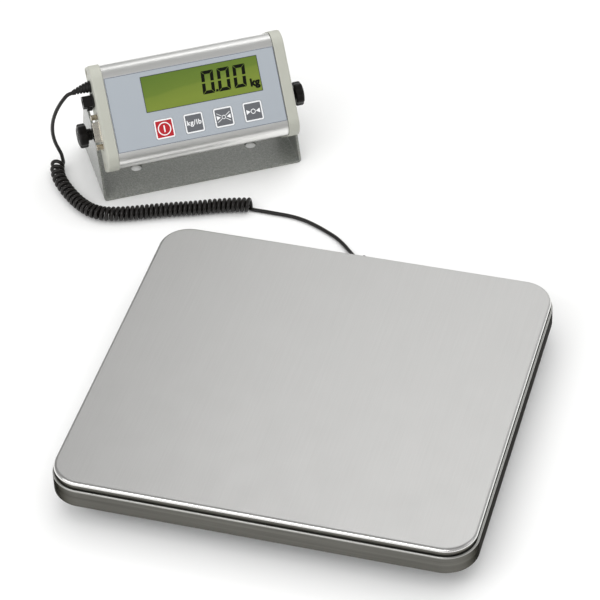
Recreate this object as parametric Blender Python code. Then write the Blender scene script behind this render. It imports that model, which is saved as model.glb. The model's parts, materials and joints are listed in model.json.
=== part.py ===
"""A bench scale: a low stainless platform that stands on four load cells, and a
separate display that tilts on a bent steel bracket, joined by a coiled lead.
Metres, +Z up, the floor at z = 0."""

import math

import bmesh
import bpy
from mathutils import Vector

# ---- layout on the table -------------------------------------------------
PLATE_REAR_LEFT = (-0.0995, 0.0392)
BRACKET_PLACE = (-0.1222, 0.1742)
BRACKET_YAW = math.radians(31.7)
DISPLAY_TILT = math.radians(39.0)
GAP = 0.0003

# ---- platform ------------------------------------------------------------
PLATE_WIDTH = 0.320
PLATE_DEPTH = 0.300
PLATE_CORNER = 0.024
PLATE_SHEET = 0.0012
PLATE_EDGE = 0.0028
PLATE_RIM = 0.0053
PLATFORM_HEIGHT = 0.0416
PAD_THICKNESS = 0.0020
PAD_RADIUS = 0.010
GROOVE = 0.0012
SHELL_LIP = 0.0012
SHELL_SHEET = 0.0015
SHELL_ROUND = 0.0012
NECK_CLEARANCE = 0.0006
FLOOR_CLEARANCE = 0.0195
BOTTOM_SHEET = 0.0015
BOTTOM_RECESS = 0.0010
FIT = 0.0004
CELL_INSET_X = 0.035
CELL_INSET_Y = 0.035
CELL_SIZE = 0.034
CELL_HEIGHT = 0.008
RAIL_SHEET = 0.0020
RAIL_END_INSET = 0.012
FOOT_RADIUS = 0.014
FOOT_PAD_HEIGHT = 0.0125
FOOT_STEM_RADIUS = 0.006
STEM_CLEARANCE = 0.0008
SCREW_RADIUS = 0.0015
SCREW_HEAD_RADIUS = 0.0029
SCREW_HEAD_HEIGHT = 0.0014
SCREW_LENGTH = 0.0045
SCREW_CLEARANCE = 0.0004
RAIL_SCREW_INSET = 0.058
BOARD_SHEET = 0.0016
GLAND_RADIUS = 0.0038
GLAND_FLANGE = 0.0050
GLAND_REACH = 0.0075
GLAND_HEIGHT = 0.0274

# ---- display housing, in the frame of the tilt axis ------------------------
AXIS_HEIGHT = 0.0476
AXIS_DEPTH = 0.0400
HOUSING_LENGTH = 0.1454
HOUSING_BOTTOM = -0.0330
HOUSING_TOP = 0.0540
HOUSING_DEPTH = 0.0471
HOUSING_FRONT_ROUND = 0.0120
HOUSING_BACK_ROUND = 0.0080
HOUSING_WALL = 0.0020
OVERLAY_SHEET = 0.0006
CAP_WIDTH = 0.0095
CAP_LIP = 0.0013
CAP_SPIGOT = 0.0050
CAP_ROUND = 0.0018
CAP_STEP_FROM_BACK = 0.0190
CAP_STEP_DEPTH = 0.0030
WINDOW_WIDTH = 0.1000
WINDOW_HEIGHT = 0.0300
WINDOW_CENTRE = (0.0072, 0.0225)
KEY_SIZE = 0.0160
KEY_SHEET = 0.0006
KEY_PROUD = 0.0002
KEY_PITCH = 0.0254
KEY_FIRST_X = -0.0308
KEY_HEIGHT = -0.0080
KEY_CORNER = 0.0016
KEY_STEM_RADIUS = 0.0025
KEY_STEM_CLEARANCE = 0.0005
KEY_STEM_LENGTH = 0.0046
KEY_DOME_GAP = 0.0007
DOME_RADIUS = 0.0030
DOME_HEIGHT = 0.0026
BOARD_WIDTH = 0.1360
BOARD_HEIGHT = 0.0700
MODULE_DEPTH = 0.0050
CELL_DIAMETER = 0.0142
CELL_LENGTH = 0.0500
TRAY_WALL = 0.0015
TRAY_CENTRE_HEIGHT = 0.0120
DOOR_SHEET = 0.0020

# ---- what is on the end caps ----------------------------------------------
PORT_PLACE = (-0.0280, 0.0000)
PORT_FLANGE = (0.0125, 0.0310)
PORT_FLANGE_SHEET = 0.0010
PORT_SHELL = (0.0083, 0.0169)
PORT_REACH = 0.0058
PORT_WALL = 0.0005
JACK_SPACING = 0.0250
JACK_RADIUS = 0.0026
JACK_LENGTH = 0.0048
INLET_PLACE = (-0.0270, 0.0265)
INLET_SIZE = (0.0090, 0.0095)
INLET_REACH = 0.0092
INLET_BORE = 0.0028
INLET_BORE_DEPTH = 0.0060
INLET_COLLAR_RADIUS = 0.0044
INLET_COLLAR_LENGTH = 0.0018
STRAP_SHEET = 0.0012
STRAP_WIDTH = 0.0014
STRAP_LENGTH = 0.0128
STRAP_ANGLE = math.radians(-14.0)
DUST_CAP_SIZE = 0.0080
DUST_CAP_DEPTH = 0.0045
DUST_PLUG_LENGTH = 0.0030
BOOT_PLACE = (-0.0260, 0.0383)
BOOT_ROOT_RADIUS = 0.0052
BOOT_TIP_RADIUS = 0.0025
BOOT_LENGTH = 0.0155
BOOT_DROOP = 0.0030
CAP_SCREW_PLACES = (0.0495, -0.0285)
CAP_SCREW_DEPTH = -0.0180

# ---- bracket and knobs ------------------------------------------------------
BRACKET_SHEET = 0.0020
BRACKET_FRONT = 0.0330
BRACKET_BACK = 0.0500
BRACKET_BEND = 0.0030
EAR_CLEARANCE = 0.0015
EAR_PIVOT_RADIUS = 0.0120
EAR_TOP_RADIUS = 0.0150
EAR_TOP_CENTRE = (0.0160, 0.0020)
WALL_HOLE_RADIUS = 0.0048
WALL_HOLE_SPACING = 0.1008
WALL_HOLE_DEPTH = 0.0016
STUD_RADIUS = 0.0025
STUD_CLEARANCE = 0.0003
WASHER_RADIUS = 0.0080
KNOB_HUB_RADIUS = 0.0050
KNOB_HUB_LENGTH = 0.0040
KNOB_RADIUS = 0.0103
KNOB_THICKNESS = 0.0072
KNOB_GRIPS = 8
KNOB_GRIP_DEPTH = 0.0009
STUD_REACH = 0.0120

# ---- lead --------------------------------------------------------------------
CORD_DIAMETER = 0.0032
COIL_DIAMETER = 0.0124

CORNER_STEPS = 6
ROUND_STEPS = 24

COLOURS = {
    "stainless": ((0.62, 0.62, 0.60), 0.34, 1.0),
    "galvanised": ((0.48, 0.49, 0.50), 0.45, 1.0),
    "anodised": ((0.72, 0.72, 0.71), 0.38, 1.0),
    "cap_plastic": ((0.56, 0.57, 0.50), 0.55, 0.0),
    "hammer_paint": ((0.16, 0.17, 0.16), 0.42, 0.3),
    "black_plastic": ((0.012, 0.012, 0.012), 0.45, 0.0),
    "rubber": ((0.02, 0.02, 0.02), 0.75, 0.0),
    "foil": ((0.44, 0.47, 0.53), 0.5, 0.0),
    "key_red": ((0.55, 0.01, 0.03), 0.5, 0.0),
    "key_grey": ((0.12, 0.13, 0.14), 0.5, 0.0),
    "lcd": ((0.16, 0.22, 0.06), 0.25, 0.0),
    "window": ((0.20, 0.26, 0.10), 0.08, 0.0),
    "board": ((0.01, 0.12, 0.05), 0.5, 0.0),
    "nickel": ((0.66, 0.63, 0.55), 0.25, 1.0),
    "cell_steel": ((0.55, 0.55, 0.56), 0.4, 1.0),
    "battery": ((0.05, 0.05, 0.06), 0.35, 0.0),
}


def clear_scene():
    for old in list(bpy.data.objects):
        bpy.data.objects.remove(old, do_unlink=True)


def material(kind):
    found = bpy.data.materials.get(kind)
    if found:
        return found
    made = bpy.data.materials.new(kind)
    made.use_nodes = True
    shader = made.node_tree.nodes["Principled BSDF"]
    colour, roughness, metallic = COLOURS[kind]
    shader.inputs["Base Color"].default_value = (*colour, 1.0)
    shader.inputs["Roughness"].default_value = roughness
    shader.inputs["Metallic"].default_value = metallic
    return made


def frame(name, place, parent=None, turn=(0.0, 0.0, 0.0)):
    empty = bpy.data.objects.new(name, None)
    bpy.context.scene.collection.objects.link(empty)
    empty.location = place
    empty.rotation_euler = turn
    empty.parent = parent
    return empty


def solid(name, shape, kind, parent, place=(0.0, 0.0, 0.0)):
    """Turn a bmesh into a named object in its parent's frame."""
    bmesh.ops.recalc_face_normals(shape, faces=shape.faces)
    mesh = bpy.data.meshes.new(name)
    shape.to_mesh(mesh)
    shape.free()
    mesh.shade_smooth()
    mesh.set_sharp_from_angle(angle=math.radians(32))
    made = bpy.data.objects.new(name, mesh)
    bpy.context.scene.collection.objects.link(made)
    made.data.materials.append(material(kind))
    made.parent = parent
    made.location = place
    return made


def boolean(target, shape, operation="DIFFERENCE"):
    """Cut a bmesh, in the target's own frame, out of the target, or join it on."""
    tool = solid(f"{target.name}_tool", shape, "rubber", target.parent, target.location)
    tool.hide_render = True
    tool.display_type = "WIRE"
    step = target.modifiers.new(operation.lower(), "BOOLEAN")
    step.operation = operation
    step.object = tool


# ---- shapes ---------------------------------------------------------------------
def arc(centre, radius, start, end, steps):
    """Points of an arc, by angles in degrees."""
    points = []
    for step in range(steps + 1):
        angle = math.radians(start + (end - start) * step / steps)
        points.append((centre[0] + radius * math.cos(angle), centre[1] + radius * math.sin(angle)))
    return points


def rounded_outline(width, height, corners, steps=CORNER_STEPS, centre=(0.0, 0.0)):
    """A rectangle with round corners; corners run from the +,+ one anticlockwise."""
    if isinstance(corners, float):
        corners = (corners,) * 4
    points = []
    for corner, (side, up) in zip(range(4), ((1, 1), (-1, 1), (-1, -1), (1, -1))):
        radius = corners[corner]
        middle = (
            centre[0] + side * (width / 2 - radius),
            centre[1] + up * (height / 2 - radius),
        )
        points += arc(middle, radius, 90 * corner, 90 * corner + 90, steps)
    return points


def circle(radius, steps=ROUND_STEPS, centre=(0.0, 0.0)):
    return arc(centre, radius, 0, 360 * (steps - 1) / steps, steps - 1)


def ring(outline, level, axis="Z"):
    """Lay a flat outline in space at a level along an axis."""
    if axis == "X":
        return [Vector((level, a, b)) for a, b in outline]
    if axis == "Y":
        return [Vector((a, level, b)) for a, b in outline]
    return [Vector((a, b, level)) for a, b in outline]


def loft(rings, closed=False):
    """Join rings of equal count by quads; cap both ends unless it closes on itself."""
    shape = bmesh.new()
    rows = [[shape.verts.new(point) for point in one] for one in rings]
    pairs = list(zip(rows, rows[1:]))
    if closed:
        pairs.append((rows[-1], rows[0]))
    for low, high in pairs:
        for index in range(len(low)):
            after = (index + 1) % len(low)
            shape.faces.new((low[index], low[after], high[after], high[index]))
    if not closed:
        shape.faces.new(list(reversed(rows[0])))
        shape.faces.new(rows[-1])
    return shape


def hull(points):
    """The convex outline round flat points, anticlockwise."""
    ordered = sorted(set(points))

    def chain(run):
        kept = []
        for x, y in run:
            while len(kept) > 1:
                (ax, ay), (bx, by) = kept[-2], kept[-1]
                if (bx - ax) * (y - ay) - (by - ay) * (x - ax) > 0:
                    break
                kept.pop()
            kept.append((x, y))
        return kept[:-1]

    return chain(ordered) + chain(ordered[::-1])


def prism(outline, start, end, axis="Z"):
    return loft([ring(outline, start, axis), ring(outline, end, axis)])


def turned(profile, axis="Z", steps=ROUND_STEPS, centre=(0.0, 0.0)):
    """A solid turned from (radius, level) pairs about a line along an axis."""
    return loft([ring(circle(radius, steps, centre), level, axis) for radius, level in profile])


def box(width, depth, low, high, centre=(0.0, 0.0)):
    half_w, half_d = width / 2, depth / 2
    x, y = centre
    outline = [
        (x + half_w, y + half_d),
        (x - half_w, y + half_d),
        (x - half_w, y - half_d),
        (x + half_w, y - half_d),
    ]
    return prism(outline, low, high)


# ---- platform -----------------------------------------------------------------------
def plate_ring(grow, level):
    """The plate's outline, grown by a margin, at a level."""
    outline = rounded_outline(PLATE_WIDTH + 2 * grow, PLATE_DEPTH + 2 * grow, PLATE_CORNER + grow)
    return ring(outline, level)


def rounded_rim(grow, top, radius, steps=4):
    """Rings over a rounded upper edge, from the side to the flat top."""
    rings = []
    for step in range(steps + 1):
        angle = math.radians(90 * step / steps)
        inward = radius * (1 - math.cos(angle))
        rings.append(plate_ring(grow - inward, top - radius + radius * math.sin(angle)))
    return rings


PLATFORM_PLACE = (PLATE_REAR_LEFT[0] + PLATE_WIDTH / 2, PLATE_REAR_LEFT[1] - PLATE_DEPTH / 2)
RIM_BOTTOM = PLATFORM_HEIGHT - PLATE_RIM
LEDGE_LEVEL = RIM_BOTTOM - GROOVE
DECK_TOP = PLATFORM_HEIGHT - PLATE_SHEET - PAD_THICKNESS - 2 * GAP
DECK_UNDER = DECK_TOP - SHELL_SHEET
BOTTOM_LEVEL = FLOOR_CLEARANCE + BOTTOM_RECESS
RAIL_LEVEL = BOTTOM_LEVEL + BOTTOM_SHEET + GAP
RAIL_TOP = DECK_UNDER - GAP
RAIL_WIDTH = CELL_SIZE + 2 * (RAIL_SHEET + FIT)
CELL_BOTTOM = DECK_UNDER - GAP - CELL_HEIGHT
CELL_X = PLATE_WIDTH / 2 - CELL_INSET_X
CELL_Y = PLATE_DEPTH / 2 - CELL_INSET_Y
CORNERS = {
    "front_left": (-1, -1),
    "front_right": (1, -1),
    "rear_left": (-1, 1),
    "rear_right": (1, 1),
}


def weighing_plate(parent):
    """A drawn lid: a brushed sheet with a small round edge and a short rim."""
    inner_round = PLATE_EDGE - PLATE_SHEET
    inside = rounded_rim(-PLATE_SHEET, PLATFORM_HEIGHT - PLATE_SHEET, inner_round)
    outside = rounded_rim(0.0, PLATFORM_HEIGHT, PLATE_EDGE)
    rings = inside[::-1] + [plate_ring(-PLATE_SHEET, RIM_BOTTOM), plate_ring(0.0, RIM_BOTTOM)]
    solid("weighing_plate", loft(rings + outside), "stainless", parent)


def base_shell(parent):
    """The pressed tray under the plate: a deck, a neck inside the lid and a band."""
    neck = -PLATE_SHEET - NECK_CLEARANCE
    rings = [plate_ring(neck - SHELL_SHEET, DECK_UNDER)]
    rings.append(plate_ring(neck - SHELL_SHEET, LEDGE_LEVEL - SHELL_SHEET))
    rings.append(plate_ring(SHELL_LIP - SHELL_SHEET, LEDGE_LEVEL - SHELL_SHEET))
    rings.append(plate_ring(SHELL_LIP - SHELL_SHEET, FLOOR_CLEARANCE))
    rings.append(plate_ring(SHELL_LIP, FLOOR_CLEARANCE))
    rings += rounded_rim(SHELL_LIP, LEDGE_LEVEL, SHELL_ROUND, 3)
    rings.append(plate_ring(neck, LEDGE_LEVEL))
    rings.append(plate_ring(neck, DECK_TOP))
    shell = solid("base_shell", loft(rings), "stainless", parent)
    hole = turned(
        [(GLAND_RADIUS + FIT, PLATE_DEPTH / 2 - 0.006), (GLAND_RADIUS + FIT, PLATE_DEPTH / 2 + 0.006)],
        "Y",
        centre=(0.0, GLAND_HEIGHT),
    )
    boolean(shell, hole)


def stem_holes(target, low, high):
    for side, front in CORNERS.values():
        place = (side * CELL_X, front * CELL_Y)
        radius = FOOT_STEM_RADIUS + STEM_CLEARANCE
        boolean(target, turned([(radius, low), (radius, high)], centre=place))


def screw_places():
    x = PLATE_WIDTH / 2 - RAIL_END_INSET - RAIL_SCREW_INSET
    return {name: (side * x, front * CELL_Y) for name, (side, front) in CORNERS.items()}


def bottom_plate(parent):
    grow = SHELL_LIP - SHELL_SHEET - FIT
    top = BOTTOM_LEVEL + BOTTOM_SHEET
    plate = solid(
        "bottom_plate",
        loft([plate_ring(grow, BOTTOM_LEVEL), plate_ring(grow, top)]),
        "galvanised",
        parent,
    )
    stem_holes(plate, BOTTOM_LEVEL - 0.002, top + 0.002)
    for place in screw_places().values():
        radius = SCREW_RADIUS + SCREW_CLEARANCE
        boolean(plate, turned([(radius, BOTTOM_LEVEL - 0.002), (radius, top + 0.002)], centre=place))


def rail(name, side, parent):
    """A steel channel, open upwards, that carries two load cells under the deck."""
    half, wall = RAIL_WIDTH / 2, RAIL_SHEET
    outline = [
        (-half, RAIL_LEVEL),
        (half, RAIL_LEVEL),
        (half, RAIL_TOP),
        (half - wall, RAIL_TOP),
        (half - wall, RAIL_LEVEL + wall),
        (wall - half, RAIL_LEVEL + wall),
        (wall - half, RAIL_TOP),
        (-half, RAIL_TOP),
    ]
    outline = [(y + side * CELL_Y, z) for y, z in outline]
    reach = PLATE_WIDTH / 2 - RAIL_END_INSET
    made = solid(name, prism(outline, -reach, reach, "X"), "galvanised", parent)
    for corner, (x, y) in screw_places().items():
        if CORNERS[corner][1] != side:
            continue
        radius = SCREW_RADIUS + SCREW_CLEARANCE
        top = RAIL_LEVEL + wall + 0.002
        boolean(made, turned([(radius, RAIL_LEVEL - 0.002), (radius, top)], centre=(x, y)))
        stem = FOOT_STEM_RADIUS + STEM_CLEARANCE
        place = (math.copysign(CELL_X, x), y)
        boolean(made, turned([(stem, RAIL_LEVEL - 0.002), (stem, top)], centre=place))


def load_cell(name, place, parent):
    """A half-bridge cell: a frame that the deck bears on, and a centre tongue."""
    cell = solid(
        name,
        prism(rounded_outline(CELL_SIZE, CELL_SIZE, 0.003, 3, place), CELL_BOTTOM, DECK_UNDER - GAP),
        "cell_steel",
        parent,
    )
    slot = 0.0030
    reach = CELL_SIZE / 2 - 0.006
    for side in (-1, 1):
        middle = (place[0] + side * (CELL_SIZE / 4 - 0.001), place[1])
        boolean(cell, box(slot, 2 * reach, CELL_BOTTOM - 0.002, DECK_UNDER + 0.002, middle))


def foot(name, place, parent):
    """A rubber foot with a steel stem that pushes on its cell."""
    profile = [
        (FOOT_RADIUS - 0.0012, 0.0),
        (FOOT_RADIUS, 0.0012),
        (FOOT_RADIUS, FOOT_PAD_HEIGHT - 0.0025),
        (FOOT_RADIUS - 0.0025, FOOT_PAD_HEIGHT),
        (FOOT_STEM_RADIUS, FOOT_PAD_HEIGHT),
        (FOOT_STEM_RADIUS, CELL_BOTTOM - GAP),
    ]
    solid(name, turned(profile, centre=place), "rubber", parent)


def bottom_screw(name, place, parent):
    head = BOTTOM_LEVEL - GAP
    profile = [
        (SCREW_HEAD_RADIUS * 0.6, head - SCREW_HEAD_HEIGHT),
        (SCREW_HEAD_RADIUS, head - SCREW_HEAD_HEIGHT * 0.5),
        (SCREW_HEAD_RADIUS, head),
        (SCREW_RADIUS, head),
        (SCREW_RADIUS, head + SCREW_LENGTH),
    ]
    solid(name, turned(profile, steps=12, centre=place), "nickel", parent)


def summing_board(parent):
    """The small board that joins the four cells, on two posts under the deck."""
    level = DECK_UNDER - 0.0065
    place = (0.0, CELL_Y - RAIL_WIDTH / 2 - 0.022)
    board = solid(
        "summing_board", box(0.052, 0.030, level, level + BOARD_SHEET, place), "board", parent
    )
    for side in (-1, 1):
        post = (place[0] + side * 0.021, place[1])
        profile = [(0.0025, level + BOARD_SHEET / 2), (0.0025, DECK_UNDER - GAP)]
        boolean(board, turned(profile, steps=12, centre=post), "UNION")
    terminal = box(0.030, 0.008, level - 0.006, level + BOARD_SHEET / 2, (place[0], place[1] + 0.008))
    boolean(board, terminal, "UNION")


def cord_gland(parent):
    """A rubber bush in the rear band, with a flange each side and a short taper."""
    wall = PLATE_DEPTH / 2 + SHELL_LIP
    inner = wall - SHELL_SHEET - GAP
    outer = wall + GAP
    profile = [
        (GLAND_FLANGE, inner - 0.0020),
        (GLAND_FLANGE, inner),
        (GLAND_RADIUS, inner),
        (GLAND_RADIUS, outer),
        (GLAND_FLANGE, outer),
        (GLAND_FLANGE, outer + 0.0018),
        (GLAND_RADIUS, outer + 0.0030),
        (CORD_DIAMETER * 0.8, outer + GLAND_REACH),
    ]
    solid("cord_gland", turned(profile, "Y", centre=(0.0, GLAND_HEIGHT)), "rubber", parent)


def platform():
    home = frame("platform_frame", (*PLATFORM_PLACE, 0.0))
    weighing_plate(home)
    base_shell(home)
    bottom_plate(home)
    rail("front_rail", -1, home)
    rail("rear_rail", 1, home)
    for corner, (side, front) in CORNERS.items():
        place = (side * CELL_X, front * CELL_Y)
        load_cell(f"load_cell_{corner}", place, home)
        foot(f"foot_{corner}", place, home)
        pad = [(PAD_RADIUS, DECK_TOP + GAP), (PAD_RADIUS, DECK_TOP + GAP + PAD_THICKNESS)]
        solid(f"plate_pad_{corner}", turned(pad, centre=place), "rubber", home)
        bottom_screw(f"bottom_screw_{corner}", screw_places()[corner], home)
    summing_board(home)
    cord_gland(home)


# ---- display ------------------------------------------------------------------------------
HOUSING_HEIGHT = HOUSING_TOP - HOUSING_BOTTOM
HOUSING_MIDDLE = (HOUSING_TOP + HOUSING_BOTTOM) / 2
HOUSING_FRONT = OVERLAY_SHEET + GAP - AXIS_DEPTH
HOUSING_BACK = HOUSING_FRONT + HOUSING_DEPTH
CAP_INNER = HOUSING_LENGTH / 2 + GAP
CAP_OUTER = CAP_INNER + CAP_WIDTH
STEP_FACE = CAP_OUTER - CAP_STEP_DEPTH
EAR_INNER = CAP_OUTER + EAR_CLEARANCE
EAR_OUTER = EAR_INNER + BRACKET_SHEET
BOARD_FRONT = HOUSING_FRONT + KEY_STEM_LENGTH + KEY_DOME_GAP + DOME_HEIGHT
TRAY_SIZE = (2 * CELL_LENGTH + 2 * TRAY_WALL + 0.0020, 2 * CELL_DIAMETER + 2 * TRAY_WALL + 0.0016)
TRAY_BACK = HOUSING_BACK - HOUSING_WALL - GAP
TRAY_DEPTH = CELL_DIAMETER + TRAY_WALL + 0.0010
KEYS = ("power", "units", "hold", "zero")


def housing_outline(grow):
    """The section of the extrusion as (depth, height), grown by a margin."""
    centre = ((HOUSING_FRONT + HOUSING_BACK) / 2, HOUSING_MIDDLE)
    back = max(HOUSING_BACK_ROUND + grow, 0.0005)
    front = max(HOUSING_FRONT_ROUND + grow, 0.0005)
    size = (HOUSING_DEPTH + 2 * grow, HOUSING_HEIGHT + 2 * grow)
    return rounded_outline(*size, (back, front, front, back), CORNER_STEPS + 2, centre)


def key_places():
    return {name: (KEY_FIRST_X + index * KEY_PITCH, KEY_HEIGHT) for index, name in enumerate(KEYS)}


def housing(parent):
    """An aluminium extrusion, open at both ends until the caps close it."""
    half = HOUSING_LENGTH / 2
    outside, inside = housing_outline(0.0), housing_outline(-HOUSING_WALL)
    rings = [ring(outside, -half, "X"), ring(outside, half, "X")]
    rings += [ring(inside, half, "X"), ring(inside, -half, "X")]
    body = solid("housing", loft(rings, closed=True), "anodised", parent)
    front_cut = (HOUSING_FRONT - 0.002, HOUSING_FRONT + HOUSING_WALL + 0.002)
    window = rounded_outline(WINDOW_WIDTH + 0.004, WINDOW_HEIGHT + 0.004, 0.001, 2, WINDOW_CENTRE)
    boolean(body, prism(window, *front_cut, "Y"))
    for place in key_places().values():
        radius = KEY_STEM_RADIUS + KEY_STEM_CLEARANCE
        boolean(body, turned([(radius, front_cut[0]), (radius, front_cut[1])], "Y", 16, place))
    door = rounded_outline(*TRAY_SIZE, 0.002, 2, (0.0, TRAY_CENTRE_HEIGHT))
    boolean(body, prism(door, HOUSING_BACK - HOUSING_WALL - 0.002, HOUSING_BACK + 0.002, "Y"))


def end_cap(name, side, parent):
    """A moulded cap with a spigot in the extrusion and a lip around it."""
    plug = housing_outline(-HOUSING_WALL - FIT)
    rings = [ring(plug, side * (CAP_INNER - CAP_SPIGOT), "X"), ring(plug, side * CAP_INNER, "X")]
    for step in range(5):
        angle = math.radians(90 * step / 4)
        inward = CAP_ROUND * (1 - math.cos(angle))
        level = CAP_OUTER - CAP_ROUND + CAP_ROUND * math.sin(angle)
        if step == 0:
            rings.append(ring(housing_outline(CAP_LIP), side * CAP_INNER, "X"))
        rings.append(ring(housing_outline(CAP_LIP - inward), side * level, "X"))
    cap = solid(name, loft(rings), "cap_plastic", parent)
    step_front = HOUSING_BACK - CAP_STEP_FROM_BACK
    ramp = [
        (side * (CAP_OUTER + 0.002), step_front - 0.002),
        (side * (CAP_OUTER + 0.002), HOUSING_BACK + 0.010),
        (side * STEP_FACE, HOUSING_BACK + 0.010),
        (side * STEP_FACE, step_front + CAP_STEP_DEPTH),
    ]
    boolean(cap, prism(ramp, HOUSING_BOTTOM - 0.010, HOUSING_TOP + 0.010))
    bore = STUD_RADIUS + STUD_CLEARANCE
    end = EAR_INNER - STUD_REACH
    boolean(cap, turned([(bore, side * end), (bore, side * (CAP_OUTER + 0.002))], "X"))
    for height in CAP_SCREW_PLACES:
        place = (CAP_SCREW_DEPTH, height)
        head = SCREW_HEAD_RADIUS + SCREW_CLEARANCE
        shank = SCREW_RADIUS + SCREW_CLEARANCE
        seat = CAP_OUTER - SCREW_HEAD_HEIGHT - 0.0012
        profile = [(shank, side * (seat - SCREW_LENGTH - 0.0010)), (shank, side * seat)]
        profile += [(head, side * seat), (head, side * (CAP_OUTER + 0.002))]
        boolean(cap, turned(profile, "X", 16, place))
    if side < 0:
        flange = rounded_outline(PORT_FLANGE[0] + 2 * FIT, PORT_FLANGE[1] + 2 * FIT, 0.002, 2, PORT_PLACE)
        pocket = prism(flange, -CAP_OUTER - 0.002, -CAP_OUTER + PORT_FLANGE_SHEET, "X")
        boolean(cap, pocket)


def cap_screw(name, side, height, parent):
    seat = CAP_OUTER - SCREW_HEAD_HEIGHT - 0.0012 + GAP
    profile = [
        (SCREW_RADIUS, side * (seat - SCREW_LENGTH)),
        (SCREW_RADIUS, side * seat),
        (SCREW_HEAD_RADIUS, side * seat),
        (SCREW_HEAD_RADIUS, side * (seat + SCREW_HEAD_HEIGHT * 0.6)),
        (SCREW_HEAD_RADIUS * 0.6, side * (seat + SCREW_HEAD_HEIGHT)),
    ]
    solid(name, turned(profile, "X", 12, (CAP_SCREW_DEPTH, height)), "nickel", parent)


def overlay(parent):
    """The printed front foil, with openings for the window and the keys."""
    low, high = HOUSING_BOTTOM + HOUSING_FRONT_ROUND, HOUSING_TOP - HOUSING_FRONT_ROUND
    size = (HOUSING_LENGTH - 2 * GAP, high - low)
    outline = rounded_outline(*size, 0.0004, 2, (0.0, (low + high) / 2))
    foil = solid("overlay", prism(outline, -AXIS_DEPTH, OVERLAY_SHEET - AXIS_DEPTH, "Y"), "foil", parent)
    cut = (-AXIS_DEPTH - 0.002, 0.002 - AXIS_DEPTH)
    window = rounded_outline(WINDOW_WIDTH, WINDOW_HEIGHT, 0.0006, 2, WINDOW_CENTRE)
    boolean(foil, prism(window, *cut, "Y"))
    for place in key_places().values():
        size = KEY_SIZE + 2 * GAP
        boolean(foil, prism(rounded_outline(size, size, KEY_CORNER + GAP, 4, place), *cut, "Y"))


def window_and_module(parent):
    size = (WINDOW_WIDTH - 2 * GAP, WINDOW_HEIGHT - 2 * GAP)
    pane = rounded_outline(*size, 0.0005, 2, WINDOW_CENTRE)
    solid("lcd_window", prism(pane, -AXIS_DEPTH, OVERLAY_SHEET - AXIS_DEPTH, "Y"), "window", parent)
    glass = rounded_outline(WINDOW_WIDTH + 0.003, WINDOW_HEIGHT + 0.003, 0.0005, 2, WINDOW_CENTRE)
    solid(
        "lcd_module",
        prism(glass, HOUSING_FRONT + GAP, HOUSING_FRONT + GAP + MODULE_DEPTH, "Y"),
        "lcd",
        parent,
    )


def key(name, place, parent):
    """A key plate in the foil with a stem that reaches its switch on the board."""
    front = -AXIS_DEPTH - KEY_PROUD
    cap = rounded_outline(KEY_SIZE, KEY_SIZE, KEY_CORNER, 4)
    home = (place[0], front, place[1])
    made = solid(name, prism(cap, 0.0, KEY_SHEET, "Y"), "key_grey", parent, home)
    if name == "key_power":
        made.data.materials[0] = material("key_red")
    end = HOUSING_FRONT + KEY_STEM_LENGTH - front
    boolean(made, turned([(KEY_STEM_RADIUS, KEY_SHEET / 2), (KEY_STEM_RADIUS, end)], "Y", 16), "UNION")


def main_board(parent):
    middle = (0.0, HOUSING_MIDDLE)
    outline = rounded_outline(BOARD_WIDTH, BOARD_HEIGHT, 0.002, 2, middle)
    board = solid(
        "main_board", prism(outline, BOARD_FRONT, BOARD_FRONT + BOARD_SHEET, "Y"), "board", parent
    )
    for place in key_places().values():
        dome = [(DOME_RADIUS, BOARD_FRONT + BOARD_SHEET / 2), (DOME_RADIUS, BOARD_FRONT + 0.0006)]
        dome += [(DOME_RADIUS * 0.8, BOARD_FRONT - DOME_HEIGHT + 0.0004)]
        dome += [(DOME_RADIUS * 0.5, BOARD_FRONT - DOME_HEIGHT)]
        boolean(board, turned(dome, "Y", 16, place), "UNION")
    chip = rounded_outline(0.014, 0.014, 0.0005, 1, (-0.045, 0.018))
    back = BOARD_FRONT + BOARD_SHEET / 2
    boolean(board, prism(chip, back, BOARD_FRONT + BOARD_SHEET + 0.0016, "Y"), "UNION")


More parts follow.
